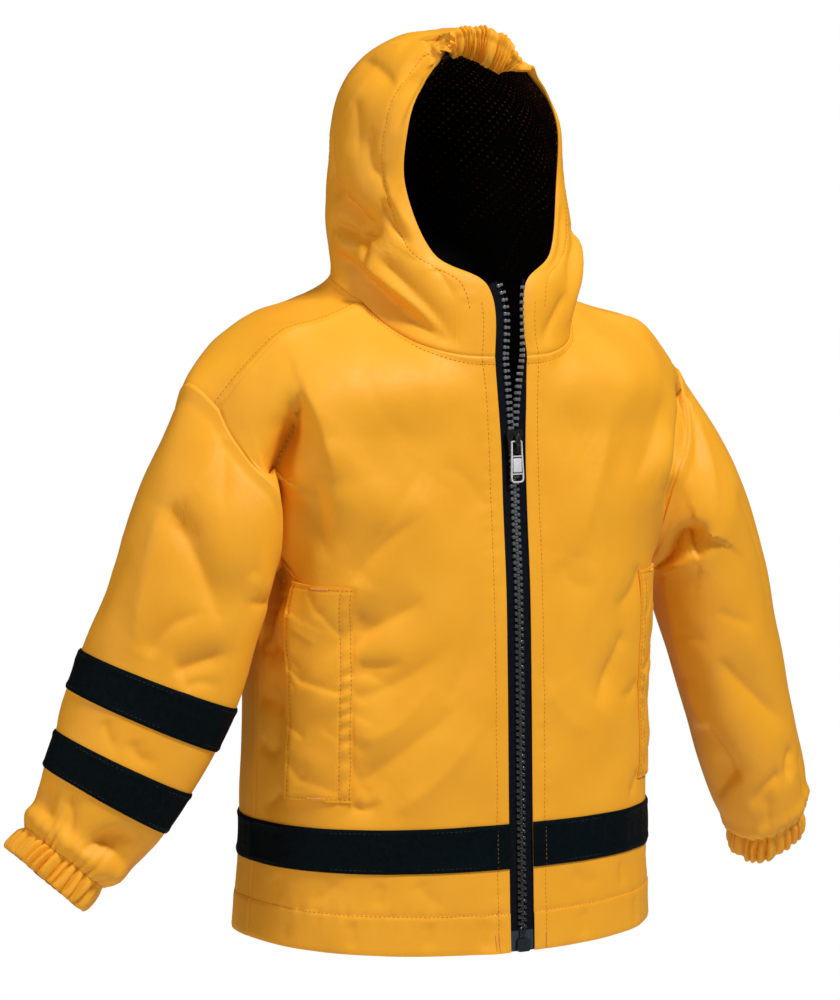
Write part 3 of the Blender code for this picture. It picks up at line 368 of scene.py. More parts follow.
CREASES = {piece: [Crease(*row) for row in rows] for piece, rows in CREASE_ROWS.items()}

# Soft unevenness over a whole piece: wave lengths across and along, turn, and height.
Swell = namedtuple("Swell", "across along turn height")
SWELLS = (
    Swell(61, 83, 0.4, 0.30), Swell(37, 118, 2.1, 0.22), Swell(97, 46, 4.4, 0.24),
    Swell(28, 53, 1.3, 0.12), Swell(143, 71, 3.2, 0.30),
)

# ---------------------------------------------------------------- breadths and fineness of the grids
FRONT_BREADTH, BACK_BREADTH, HOOD_BREADTH, SLEEVE_BREADTH = 180.0, 190.0, 170.0, 240.0
FRONT_STEP, BACK_STEP, HOOD_STEP, SLEEVE_STEP = 1.9, 2.2, 1.9, 2.0
BODY_STEP, ARMHOLE_ROWS = 2.0, 66
SLEEVE_CLOSE, HOOD_CLOSE = 6, 4     # rows lie close together so far from the seam
SIDE_FINE = 2.4             # and columns so far from the side seam
FINE_STEP = 0.55            # grid step where a row of stitches runs
BODY_CENTRE = (0, 0, -150)  # inside the form: outwards is away from here
HOOD_CENTRE = (0, 10, 80)
BLOCK = 4000                # grid points measured at a time
SWELL_PHASE = {"front_right": 0.7, "front_left": 2.9, "back": 5.1, "hood": 4.4, "sleeve_right": 1.1,
               "sleeve_left": 3.7}

# ---------------------------------------------------------------- gathers
GATHER_STEPS = 14           # points on each gather
GATHERS = 27                # round a cuff
GATHER_PHASE = {"right": 0.4, "left": 1.3}
CASING_GATHERS = 21         # over each half of the brow
CASING_DROOP = 5.0
CASING_TURN = 22.0          # how far the casing turns in under the brow
CASING_ROLL = 3.0
CASING_WALL = 1.3
FACING = 0.075              # share of the left half that the yellow facing takes, inside the rim
FACING_LEVEL, FACING_SPREAD = 205.0, 42.0

# ---------------------------------------------------------------- stitches and zip
PITCH = 2.8
STITCH_LENGTH = 2.0
STITCH_RADIUS = 0.23
TACK_PITCH = 0.75
ZIP_STITCH = 8.6            # from the edge of a front to its row of stitches
NECK_STITCH = 5.0           # from the neck seam and the shoulder seam
RIM_STITCH = 17.0           # from the rim of the hood
TAPE_STITCH = 2.4           # from either edge of a navy tape
HEM_TURN, HEM_RISE = 24.0, 0.45     # the doubled hem, and how far it stands out
SEAM_MEETS = 0.9            # pieces keep their place so near to a seam
# A row of stitches: depth and width of its groove, height and reach of the waves that it pulls.
Pull = namedtuple("Pull", "groove width pucker reach")
ZIP_PULL = Pull(0.35, 1.3, 0.20, 5.0)
NECK_PULL = Pull(0.35, 1.3, 0.22, 4.5)
HEM_PULL = Pull(0.45, 1.4, 0.38, 6.5)
RIM_PULL = Pull(0.35, 1.3, 0.28, 5.0)
HOOD_ZIP_PULL = Pull(0.35, 1.3, 0.15, 4.0)
FRONT_PULL_PHASE = {"right": 0.4, "left": 2.2}
TAPE_WAVE_PHASE = {"right": 1.9, "left": 0.3}
# Bartacks at the foot of each zip edge: from the edge, top level, half width.
ZIP_TACKS = {"right": ((ZIP_STITCH, -379, 0.5), (ZIP_STITCH + 2.4, -379, 0.5)),
             "left": ((ZIP_STITCH, -381, 0.8),)}
CORNER_CURL = 3.0           # how far the lower zip corner of the right front stands out
TOOTH_REACH = 8.6           # from the edge of a front to the roots of its teeth
TOOTH_PITCH = 3.9
TAPE_UNDER = 9.5            # how far the tape goes on under the front
SLIDER_LEVEL = -77.5
SLIDER_HALF = 3.2           # no tooth is built inside the slider
PULL_HINGE = (0.0, -81.60, -77.31)
PIN_FOOT, PIN_TOP = 7.0, 13.4       # over the hem, along the zip
FLARE_OVER = 80.0           # above the slider, until the tapes have turned out fully
ZIP_FLARE = {"right": 2.0, "left": 58.0}    # how far the open tapes turn out at the top, degrees

# ---------------------------------------------------------------- camera
CAMERA_PLACE = (-1.4155, -2.4155, 0.1257)
CAMERA_TARGET = (-0.0209, 0.0001, -0.1183)
CAMERA_LENS = 161.3
FLOOR_LEVEL = -0.80
FLOOR_REACH = 1.5


# ---------------------------------------------------------------- curves
def smooth(knots, values, at):
    """Cubic curve through table values, its slope at a knot taken from both neighbours."""
    knots = np.asarray(knots, float)
    values = np.asarray(values, float)
    at = np.clip(np.asarray(at, float), knots[0], knots[-1])
    gap = np.diff(knots)
    column = (-1,) + (1,) * (values.ndim - 1)
    slope = np.diff(values, axis=0) / gap.reshape(column)
    before, after = gap[:-1].reshape(column), gap[1:].reshape(column)
    tangent = np.empty_like(values)
    tangent[1:-1] = (after * slope[:-1] + before * slope[1:]) / (before + after)
    tangent[0] = (3 * slope[0] - tangent[1]) / 2
    tangent[-1] = (3 * slope[-1] - tangent[-2]) / 2
    part = np.clip(np.searchsorted(knots, at, side="right") - 1, 0, len(gap) - 1)
    step = gap[part].reshape(column)
    t = ((at - knots[part]) / gap[part]).reshape(column)
    return ((2 * t ** 3 - 3 * t ** 2 + 1) * values[part]
            + (t ** 3 - 2 * t ** 2 + t) * step * tangent[part]
            + (3 * t ** 2 - 2 * t ** 3) * values[part + 1]
            + (t ** 3 - t ** 2) * step * tangent[part + 1])


def lengths_along(points):
    """Distance from the first point to each point, along the line."""
    return np.concatenate(([0.0], np.cumsum(np.linalg.norm(np.diff(points, axis=0), axis=1))))


def between(at, along, points):
    """Points at some distances on a line, along holding the distance of each of its points."""
    return np.stack([np.interp(at, along, points[:, k]) for k in range(3)], -1)


def even(points, share):
    """Points of a fine line at the given shares of its length."""
    along = lengths_along(points)
    return between(np.asarray(share) * along[-1], along, points)


def two_parts(first, second, part, share):
    """A line from two: the first one up to the share part, the second one from there on."""
    share = np.asarray(share, float)
    early = share <= part
    line = np.empty((len(share), 3))
    line[early] = first(share[early] / part)
    line[~early] = second((share[~early] - part) / (1 - part))
    return line


def ring_shares(ring):
    """How far round a closed ring each of its points lies, as a share."""
    around = lengths_along(np.vstack([ring, ring[:1]]))
    return around[:-1] / around[-1]


def unit(vectors):
    """The same directions, one millimetre long."""
    return vectors / np.maximum(np.linalg.norm(vectors, axis=-1, keepdims=True), 1e-9)


def fade(distance, over=SEAM_FADE):
    """0 at a seam, rising smoothly to 1."""
    share = np.clip(np.abs(distance) / over, 0, 1)
    return share * share * (3 - 2 * share)


def seam(points, share):
    """Points of a seam at the given shares of its length."""
    points = np.array(points, float)
    fine = smooth(lengths_along(points), points, np.linspace(0, lengths_along(points)[-1], 241))
    return even(fine, share)


# ---------------------------------------------------------------- plain forms, as in the part
def section_line(row, share):
    """Half a body section at the given shares of its length, from the middle outwards."""
    fine = np.linspace(0, 1, 361)
    turn = math.radians(row.turn)
    power = 2 / row.square
    across = (np.sin(fine * turn) / math.sin(turn)) ** power
    end = max(math.cos(turn), 0.0) ** power
    inwards = (1 - np.clip(np.cos(fine * turn), 0, 1) ** power) / (1 - end)
    line = np.stack([
        row.mid_x + (row.out_x - row.mid_x) * across,
        row.mid_y + (row.out_y - row.mid_y) * inwards,
        row.mid_z + (row.out_z - row.mid_z) * fine + row.lift * np.sin(math.pi * fine),
    ], 1)
    return even(line, share)


def top_line(neck, neck_share, share):
    """Neck seam and then shoulder seam of a front or of half the back."""
    return two_parts(lambda at: seam(neck, at), lambda at: seam(SHOULDER, at), neck_share, share)


def body_grid(rows, neck, neck_share, levels, share):
    """Grid of a front or of half the back on the wearer's left: one line for each level."""
    levels = np.asarray(levels, float)
    with_edge = np.append(share, 1.0)
    lines = [section_line(row, with_edge) for row in rows] + [top_line(neck, neck_share, with_edge)]
    grid = smooth([row.level for row in rows] + [TOP_LEVEL], np.array(lines), levels)
    near_edge = (np.clip((share - SIDE_SHARE) / (1 - SIDE_SHARE), 0, 1) ** 2)[None, :, None]
    below = [row for row in rows if row.level <= UNDERARM_LEVEL]
    side_seam = smooth([row.level for row in below], [(row.out_x, row.out_y, row.out_z) for row in below],
                       levels)
    shift = np.where((levels <= UNDERARM_LEVEL)[:, None], side_seam - grid[:, -1], 0)
    rise = np.clip((levels - UNDERARM_LEVEL) / (SCOOP_TOP - UNDERARM_LEVEL), 0, 1)
    shift[:, 1] += np.sign(rows[0].mid_y) * SCOOP * SCOOP_CURVE * np.sqrt(rise) * (1 - rise) ** 2
    return grid[:, :-1] + shift[:, None, :] * near_edge


def hood_line(row, share):
    """Half a hood ring at the given shares of its length, from the rim to the centre back."""
    quarter = np.linspace(0, math.pi / 2, 121)
    sine, cosine = np.sin(quarter), np.cos(quarter)
    front = np.stack([
        row.rim_x + (row.side_x - row.rim_x) * sine,
        row.side_y + (row.rim_y - row.side_y) * cosine,
        row.side_z + (row.rim_z - row.side_z) * cosine,
    ], 1)
    back = np.stack([
        row.side_x * cosine,
        row.side_y + (row.back_y - row.side_y) * sine,
        row.side_z + (row.back_z - row.side_z) * sine,
    ], 1)
    return two_parts(lambda at: even(front, at), lambda at: even(back, at), HOOD_SIDE_SHARE, share)


def neck_line(share):
    """Half the neck seam at the given shares of its length, from the zip to the centre back."""
    front, back = (lengths_along(seam(neck, np.linspace(0, 1, 121)))[-1] for neck in (NECK_FRONT, NECK_BACK))
    part = front / (front + back)
    return two_parts(lambda at: seam(NECK_FRONT, at), lambda at: seam(NECK_BACK, at), part, share)


def front_form(levels, shares):
    """A front on the wearer's left."""
    return body_grid(FRONT, NECK_FRONT, NECK_SHARE, levels, np.asarray(shares, float))


def back_form(levels, shares):
    """The back: shares run from -1, the right side seam, over 0, the centre back, to 1."""
    shares = np.asarray(shares, float)
    grid = body_grid(BACK, NECK_BACK[::-1], NECK_SHARE_BACK, levels, np.abs(shares))
    grid[:, :, 0] *= np.where(shares < 0, -1, 1)
    return grid


def hood_form(levels, shares):
    """The hood: shares run from -1, the right rim, over 0, the centre back, to 1, the left rim."""
    shares = np.asarray(shares, float)
    levels = np.asarray(levels, float)
    from_rim = 1 - np.abs(shares)
    lines = [neck_line(from_rim)] + [hood_line(row, from_rim) for row in HOOD]
    grid = smooth([0] + [row.level for row in HOOD], np.array(lines), levels)
    grid[:, :, 0] *= np.where(shares < 0, -1, 1)
    weight = np.clip((levels - CROWN_FROM) / (HOOD_TOP_LEVEL - CROWN_FROM), 0, 1)
    grid[:, :, 2] -= CROWN_LEAN * weight[:, None] * grid[:, :, 0]
    at_rim = fade(np.maximum(-shares - RIM_SHARE, 0), 1 - RIM_SHARE)[None, :]
    grid[:, :, 0] += RIM_REACH * at_rim * np.exp(-((levels[:, None] - RIM_LEVEL) / RIM_SPREAD) ** 2)
    return grid


def sleeve_form(side, start, levels):
    """A sleeve on the wearer's left, from the armhole ring: one ring of points for each station."""
    rings = SLEEVE[side]
    centres = np.array([(ring.x, ring.y, ring.z) for ring in rings], float)
    axis = np.gradient(centres, axis=0)
    angle = 2 * math.pi * ring_shares(start)
    lines = [start]
    for ring, centre, along in zip(rings, centres, axis):
        ahead = unit(np.cross((1, 0, 0), along))
        ahead *= -np.sign(ahead[1])
        dip = math.radians(ring.dip)
        inwards = np.array((-math.cos(dip), 0, -math.sin(dip)))
        slant = angle - math.pi / 4
        radius = ring.wide * ring.narrow / np.hypot(ring.narrow * np.cos(slant), ring.wide * np.sin(slant))
        lines.append(centre + radius[:, None] * (np.cos(angle)[:, None] * inwards
                                                 + np.sin(angle)[:, None] * ahead))
    return smooth([0] + [ring.along for ring in rings], np.array(lines), levels)


def places_on(form):
    """The same form for pairs of level and share, in place of a grid of them."""
    def points(levels, shares):
        grid = form(levels, shares)
        return grid[np.arange(len(levels)), np.arange(len(levels))]
    return points


# ---------------------------------------------------------------- folds and creases
def normals(grid, centre, closed=False):
    """Unit normals of a grid, away from the centre, a point or one point for each row."""
    if closed:
        across = np.roll(grid, -1, axis=1) - np.roll(grid, 1, axis=1)
    else:
        across = np.gradient(grid, axis=1)
    normal = unit(np.cross(across, np.gradient(grid, axis=0)))
    outwards = np.sum(normal * (grid - np.asarray(centre, float).reshape(-1, 1, 3)))
    return normal * np.sign(outwards)


def nearest_on(line, grid):
    """For each grid point the number of the nearest point of a line, and its distance."""
    distance = np.linalg.norm(grid[:, :, None] - line, axis=3)
    return np.argmin(distance, axis=2), np.min(distance, axis=2)


def fold_heights(grid, places, folds):
    """How far each grid point moves out: the sum of the large folds of its piece."""
    height = np.zeros(grid.shape[:2])
    step = np.linspace(0, 1, FOLD_SAMPLES)
    for fold in folds:
        levels = fold.level + (fold.to_level - fold.level) * step
        shares = fold.share + (fold.to_share - fold.share) * step
        nearest, distance = nearest_on(places(levels, shares), grid)
        along = smooth([0, 0.5, 1], [fold.start, fold.middle, fold.end], step)[nearest]
        height += along * np.exp(-(distance / fold.width) ** 2)
    return height


def through_three(step, first, second, third):
    """A parabola through three values, the second of them halfway."""
    return ((1 - step) * (1 - 2 * step) * first + 4 * step * (1 - step) * second
            + step * (2 * step - 1) * third)


def crease_heights(grid, places, creases, levels, shares, breadth):
    """Folded creases, crisp along their line. breadth is how many millimetres one whole share is."""
    height = np.zeros(grid.shape[:2])
    step = np.linspace(0, 1, CREASE_SAMPLES)
    for crease in creases:
        strength = ((crease.begin + (1 - crease.begin) * fade(step + 0.05, 0.22))
                    * (crease.finish + (1 - crease.finish) * fade(1.02 - step, 0.42)))
        line_shares = through_three(step, crease.share, crease.by_share, crease.to_share)
        line_levels = through_three(step, crease.level, crease.by_level, crease.to_level)
        nearest, distance = nearest_on(places(line_levels, line_shares), grid)
        run_across = np.gradient(line_shares)[nearest] * breadth
        run_along = np.gradient(line_levels)[nearest]
        off_across = (shares[None, :] - line_shares[nearest]) * breadth
        off_along = levels[:, None] - line_levels[nearest]
        on_left = run_across * off_along - run_along * off_across > 0
        reach = np.where(on_left, crease.left, crease.right)
        edge = np.minimum(CREASE_ROUNDING, 0.3 * reach)
        height += (crease.depth * strength[nearest]
                   * np.exp(-(np.sqrt(distance ** 2 + edge ** 2) - edge) / reach))
    return height


def swell_heights(levels, shares, breadth, phase):
    """A slow unevenness of the cloth, the same for the same piece each time."""
    height = np.zeros((len(levels), len(shares)))
    across = shares[None, :] * breadth
    for index, swell in enumerate(SWELLS):
        turn = swell.turn + phase * (1.7 + 0.6 * index)
        bend = 0.9 * np.sin(levels[:, None] / 71 + turn)
        height += swell.height * (np.sin(across / swell.across * 2 * math.pi + bend + turn)
                                  * np.cos(levels[:, None] / swell.along * 2 * math.pi + 2 * turn))
    return height


def closed_swell(levels, shares, breadth, phase):
    """The same unevenness round a closed ring, in whole waves."""
    height = np.zeros((len(levels), len(shares)))
    for index, swell in enumerate(SWELLS):
        turn = swell.turn + phase * (1 + 0.4 * index)
        count = max(int(round(breadth / swell.across)), 1)
        height += swell.height * (np.sin(shares[None, :] * 2 * math.pi * count + turn
                                         + 0.8 * np.sin(levels[:, None] / 60 + turn))
                                  * np.cos(levels[:, None] / swell.along * 2 * math.pi + turn))
    return height


# ---------------------------------------------------------------- panels
class Panel:
    """A fine grid of one piece of cloth: outer points and normals, with levels and shares."""

    def __init__(self, levels, shares, points, normal, centre, closed=False):
        """closed: the last column is followed by the first, as on a sleeve."""
        self.levels = levels
        self.shares = shares
        self.points = points
        self.normal = normal
        self.centre = centre
        self.closed = closed

    def raise_by(self, height):
        """Moves each point out along its normal."""
        self.points = self.points + self.normal * height[:, :, None]

    def renew(self):
        """Normals of the form as it now is."""
        self.normal = normals(self.points, self.centre, self.closed)

    def place(self, levels, shares):
        """Row and column numbers, with fractions, of pairs of level and share."""
        rows = np.interp(levels, self.levels, np.arange(len(self.levels)))
        columns = np.interp(shares, self.shares, np.arange(len(self.shares)))
        return rows, columns

    def at(self, rows, columns):
        """Points and normals at row and column numbers with fractions."""
        row_count, column_count = self.points.shape[:2]
        rows = np.clip(rows, 0, row_count - 1)
        low = np.clip(np.floor(rows).astype(int), 0, row_count - 2)
        if self.closed:
            columns = np.mod(columns, column_count)
            left = np.floor(columns).astype(int) % column_count
            right = (left + 1) % column_count
        else:
            columns = np.clip(columns, 0, column_count - 1)
            left = np.clip(np.floor(columns).astype(int), 0, column_count - 2)
            right = left + 1
        up = (rows - low)[..., None]
        over = (columns - left)[..., None]
        found = []
        for grid in (self.points, self.normal):
            found.append((1 - up) * ((1 - over) * grid[low, left] + over * grid[low, right])
                         + up * ((1 - over) * grid[low + 1, left] + over * grid[low + 1, right]))
        return found[0], found[1] / np.linalg.norm(found[1], axis=-1)[..., None]

    def patch(self, levels, shares):
        """Points and normals on a grid of levels and shares."""
        rows, columns = self.place(np.asarray(levels, float), np.asarray(shares, float))
        return self.at(*np.broadcast_arrays(rows[:, None], columns[None, :]))

    def path(self, places, count=400):
        """Row and column numbers along a broken line of (level, share) places."""
        found = self.place(*np.array(places, float).T)
        step = np.linspace(0, len(places) - 1, count)
        return [np.interp(step, np.arange(len(places)), numbers) for numbers in found]

    def from_border(self, border):
        """Points with the border's own line first in each run, and whether the runs are rows."""
        in_rows = border in ("first", "last")
        points = self.points if in_rows else self.points.swapaxes(0, 1)
        return (points[:, ::-1] if border in ("last", "top") else points), in_rows

    def depths(self, border):
        """Distance of each point of each run from the border, along the cloth."""
        points, _ = self.from_border(border)
        gaps = np.linalg.norm(np.diff(points, axis=1), axis=2)
        return np.hstack([np.zeros((len(points), 1)), np.cumsum(gaps, axis=1)])

    def inset(self, border, distance, start=-math.inf, end=math.inf):
        """Row and column numbers of the line that keeps a distance from a border."""
        points, in_rows = self.from_border(border)
        count = points.shape[1]
        found = np.array([np.interp(distance, depth, np.arange(count)) for depth in self.depths(border)])
        if border in ("last", "top"):
            found = count - 1 - found
        along = self.levels if in_rows else self.shares
        keep = (along >= start) & (along <= end)
        runs = np.arange(len(along))[keep].astype(float)
        return (runs, found[keep]) if in_rows else (found[keep], runs)

    def edge_distance(self, border):
        """Distance of each grid point from a border, along the cloth."""
        depth = self.depths(border)
        if border in ("last", "top"):
            depth = depth[:, ::-1]
        return depth if border in ("first", "last") else depth.T


def row_relief(panel, path, pull, phase):
    """The groove along a row of stitches, and the small uneven waves that it pulls beside it."""
    line, _ = panel.at(*path)
    total = lengths_along(line)[-1]
    count = max(int(total / 2.2), 8)
    fine = even(line, np.linspace(0, 1, count))
    height = np.zeros(panel.points.shape[:2])
    margin = pull.reach * 2.2
    low, high = fine.min(axis=0) - margin, fine.max(axis=0) + margin
    near = np.all((panel.points > low) & (panel.points < high), axis=2)
    points = panel.points[near]
    if not len(points):
        return height
    blocks = np.array_split(points[None], range(BLOCK, len(points), BLOCK), axis=1)
    found = [nearest_on(fine, block) for block in blocks]
    where, best = (np.concatenate(values, axis=1)[0] for values in zip(*found))
    along = where * total / (count - 1)
    wave = (np.sin(along / 6.1 * 2 * math.pi / 1.7 + 1.9 * np.sin(along / 23 + phase) + phase)
            * (0.55 + 0.45 * np.sin(along / 41 + 2.3 * phase)))
    ends = np.clip(np.minimum(along, total - along) / 4, 0, 1)
    height[near] = (-pull.groove * np.exp(-(best / pull.width) ** 2) * ends
                    + pull.pucker * wave * np.exp(-(best / pull.reach) ** 2) * ends)
    return height


def fine_steps(start, end, step, fine_places, reach=2.4, fine=FINE_STEP):
    """Even steps from start to end, closer together round each named place."""
    steps = list(np.linspace(start, end, int(abs(end - start) / step) + 1))
    for place in fine_places:
        steps = [at for at in steps if abs(at - place) > reach + 0.3 or at in (start, end)]
        steps += list(np.arange(place - reach, place + reach + 0.01, fine))
    return np.array(sorted(at for at in set(steps) if start <= at <= end))


def front_levels():
    """Levels of the fronts and the back, close together at the hem stitches, underarm and top."""
    below = fine_steps(HEM_LEVEL, UNDERARM_LEVEL, BODY_STEP, (HEM_STITCH_LEVEL,))
    above = UNDERARM_LEVEL + (TOP_LEVEL - UNDERARM_LEVEL) * np.linspace(0, 1, ARMHOLE_ROWS + 1) ** 1.4
    above = above[above < TOP_LEVEL - 5]
    top = np.linspace(TOP_LEVEL - 5, TOP_LEVEL, 21)
    return np.concatenate([below, above[1:], top])


def plain_front(side, levels, shares):
    """A front on the wearer's left: its form, normals, and the form with its large folds."""
    grid = front_form(levels, shares)
    normal = normals(grid, BODY_CENTRE)
    to_side = fade((1 - shares[None, :]) * FRONT_BREADTH)
    above = np.clip((levels - UNDERARM_LEVEL) / 20, 0, 1)[:, None]
    keep = fade(levels - TOP_LEVEL)[:, None] * fade(shares * FRONT_BREADTH)[None, :]
    keep = keep * (above + (1 - above) * to_side)
    height = fold_heights(grid, places_on(front_form), FOLDS["front_" + side]) * keep
    return grid, normal, grid + normal * height[:, :, None]


def plain_back(levels, shares):
    """The back: its form, normals, and the form with its large folds."""
    grid = back_form(levels, shares)
    normal = normals(grid, BODY_CENTRE)
    keep = fade(levels - TOP_LEVEL)[:, None] * fade((1 - np.abs(shares)) * BACK_BREADTH)[None, :]
    height = fold_heights(grid, places_on(back_form), FOLDS["back"]) * keep
    return grid, normal, grid + normal * height[:, :, None]


def rounded_edge(distance, drop=0.5, reach=1.2):
    """How far the cloth rolls in close to a free edge."""
    return -drop * np.clip(1 - distance / reach, 0, 1) ** 2


def seam_lip(distance, height=0.55, reach=6.0):
    """The rise of the cloth beside a seam: nothing at the seam itself, where the pieces meet."""
    return height * (1 - np.exp(-(distance / SEAM_MEETS) ** 2)) * np.exp(-(distance / reach) ** 2)


def keep_edges(panel, borders):
    """1 inside, 0 on the borders where pieces meet, so that no gap opens there."""
    keep = np.ones(panel.points.shape[:2])
    for border in borders:
        keep *= np.clip(panel.edge_distance(border) / SEAM_MEETS, 0, 1)
    return keep


def crumple(panel, grid, places, piece, breadth, keep, part=1.0):
    """Raises a panel by its creases and a part of the soft unevenness, both held back by keep."""
    small = crease_heights(grid, places, CREASES[piece], panel.levels, panel.shares, breadth)
    waves = closed_swell if panel.closed else swell_heights
    swell = part * waves(panel.levels, panel.shares, breadth, SWELL_PHASE[piece])
    panel.raise_by((small + swell) * keep)


def front_panel(side):
    """A front with its folds and creases. Beside the arm they press straight back."""
    levels = front_levels()
    shares = fine_steps(0, FRONT_BREADTH, FRONT_STEP, (ZIP_STITCH, FRONT_BREADTH - SIDE_FINE))
    shares /= FRONT_BREADTH
    grid, normal, folded = plain_front(side, levels, shares)
    beside_arm = (fade(np.maximum(shares - ARM_SHARE, 0), 0.16)[None, :]
                  * fade(np.maximum(levels - UNDERARM_LEVEL + 20, 0), 30)[:, None])
    straight_back = normal.copy()
    straight_back[:, :, 0] *= 1 - 0.85 * beside_arm
    panel = Panel(levels, shares, folded, unit(straight_back), BODY_CENTRE)
    keep = (fade(levels - TOP_LEVEL, 8)[:, None] * fade(shares * FRONT_BREADTH, 9)[None, :]
            * fade((1 - shares) * FRONT_BREADTH, 3.5)[None, :])
    crumple(panel, grid, places_on(front_form), "front_" + side, FRONT_BREADTH, keep)
    return panel


def back_panel():
    """The back with its folds and creases."""
    levels = front_levels()
    shares = fine_steps(-BACK_BREADTH, BACK_BREADTH, BACK_STEP, ()) / BACK_BREADTH
    grid, normal, folded = plain_back(levels, shares)
    panel = Panel(levels, shares, folded, normal, BODY_CENTRE)
    keep = fade(levels - TOP_LEVEL, 8)[:, None] * fade((1 - np.abs(shares)) * BACK_BREADTH, 9)[None, :]
    crumple(panel, grid, places_on(back_form), "back", BACK_BREADTH, keep)
    return panel


def armhole_ring(side):
    """The ring of points where a sleeve begins, up the front's edge and down the back's."""
    levels = front_levels()
    levels = levels[levels >= UNDERARM_LEVEL - 0.01]
    edge = np.array((0.97, 1.0))
    front, back = plain_front(side, levels, edge)[2], plain_back(levels, edge)[2]
    return np.vstack([front[:, 1], back[-2:0:-1, 1]])


def sleeve_panel(side):
    """A sleeve with its folds and creases, drawn in at its end by the cuff's elastic."""
    piece = "sleeve_" + side
    start = armhole_ring(side)
    length = SLEEVE[side][-1].along
    rows = int((length - SLEEVE_CLOSE) / SLEEVE_STEP) + 1
    stations = np.concatenate([np.arange(0, SLEEVE_CLOSE, 0.75), np.linspace(SLEEVE_CLOSE, length, rows)])
    grid = sleeve_form(side, start, stations)
    normal = normals(grid, grid.mean(axis=1), closed=True)
    shares = ring_shares(start)

    def places(at_levels, at_shares):
        rings = sleeve_form(side, start, at_levels)
        return np.array([between(share, np.append(shares, 1), np.vstack([ring, ring[:1]]))
                         for ring, share in zip(rings, at_shares)])

    keep = fade(stations)[:, None] * fade(stations[-1] - stations)[:, None]
    height = fold_heights(grid, places, FOLDS[piece]) * keep
    panel = Panel(stations, shares, grid + normal * height[:, :, None], normal, grid.mean(axis=1), True)
    crumple(panel, grid, places, piece, SLEEVE_BREADTH, fade(stations, 6)[:, None], 0.8)
    ridge = seam_lip(stations, 1.3, 5.5) - 0.4 * np.exp(-((stations - 9.0) / 1.8) ** 2)
    panel.raise_by(ridge[:, None] + cuff_pull(stations[-1] - stations, shares, GATHER_PHASE[side]))
    return panel


def cuff_pull(to_end, shares, phase):
    """How the end of a sleeve puffs and gathers before its cuff."""
    turn = 2 * math.pi * shares
    reach = 9.0 + 5.0 * np.sin(7 * turn + 1.0) * np.sin(3 * turn)
    pull = np.exp(-to_end[:, None] / reach[None, :])
    puff = 3.4 * np.exp(-((to_end - 9.5) / 6.0) ** 2) - 1.6 * np.exp(-(to_end / 2.4) ** 2)
    uneven = 0.80 + 0.20 * np.sin(5 * turn + 0.8) * np.sin(2 * turn + 2)
    return puff[:, None] * uneven[None, :] + 3.2 * pull * (gather_wave(shares, phase) - 0.45)[None, :]


def gather_wave(shares, phase, step=0.0):
    """Gathers round an elastic edge: full crests and sharp valleys, uneven in width and height.

    step, from 0 at the sleeve to 1 at the mouth, lets each gather wander on its way.
    """
    turn = 2 * math.pi * shares
    angle = (GATHERS * turn + 1.5 * np.sin(2 * turn + phase) + 1.2 * np.sin(3 * turn + 2 * phase)
             + 1.1 * np.sin(7 * turn + phase) + 0.6 * np.sin(13 * turn)
             + step * (1.1 * np.sin(4 * turn + 3 * phase) + 0.9 * np.sin(9 * turn + phase)))
    crest = np.abs(np.sin(angle / 2)) ** 0.8
    return crest * (0.70 + 0.18 * np.sin(5 * turn + 3 * phase) + 0.12 * np.sin(11 * turn + phase + 2 * step))


def hood_panel():
    """The hood up to its brow casing, with its folds and creases."""
    rows = int(CASING_LEVEL / HOOD_STEP)
    levels = np.concatenate([np.arange(0, HOOD_CLOSE, 0.7), np.linspace(HOOD_CLOSE, CASING_LEVEL, rows)])
    rim = HOOD_BREADTH - RIM_STITCH
    shares = fine_steps(-HOOD_BREADTH, HOOD_BREADTH, HOOD_STEP, (-rim, -2.0, 2.0, rim)) / HOOD_BREADTH
    grid = hood_form(levels, shares)
    normal = normals(grid, HOOD_CENTRE)
    to_rim = (1 - np.abs(shares)) * HOOD_BREADTH
    keep = fade(levels)[:, None] * fade(to_rim)[None, :]
    height = fold_heights(grid, places_on(hood_form), FOLDS["hood"]) * keep
    panel = Panel(levels, shares, grid + normal * height[:, :, None], normal, HOOD_CENTRE)
    keep = fade(levels, 7)[:, None] * fade(to_rim, 6)[None, :]
    crumple(panel, grid, places_on(hood_form), "hood", HOOD_BREADTH, keep, 0.8)
    pull = np.exp(-(levels[-1] - levels) / 8.0)[:, None]
    panel.raise_by(pull * 2.2 * (casing_wave(shares)[None, :] - 0.4))
    return panel


def casing_wave(shares, step=0.0):
    """Gathers of the brow casing, deeper at the crown than at its ends; step as on a cuff."""
    angle = (CASING_GATHERS * math.pi * (shares + 1) + 1.6 * np.sin(5.3 * shares + 0.6)
             + 1.5 * np.sin(9.1 * shares + 2) + 1.3 * np.sin(17.0 * shares)
             + step * (2.9 * np.sin(11.0 * shares + 1) + 1.7 * np.sin(23.0 * shares)))
    crest = np.abs(np.sin(angle / 2)) ** 0.7
    crossing = np.abs(np.sin(0.83 * angle + 5.0 * step + 2.0 * np.sin(7.0 * shares)))
    uneven = 0.62 + 0.20 * np.sin(7 * shares + 1) + 0.18 * np.sin(19 * shares + 5 * step)
    return (crest * uneven + 0.42 * crossing * step) * np.clip((1.04 - np.abs(shares)) / 0.24, 0.3, 1)


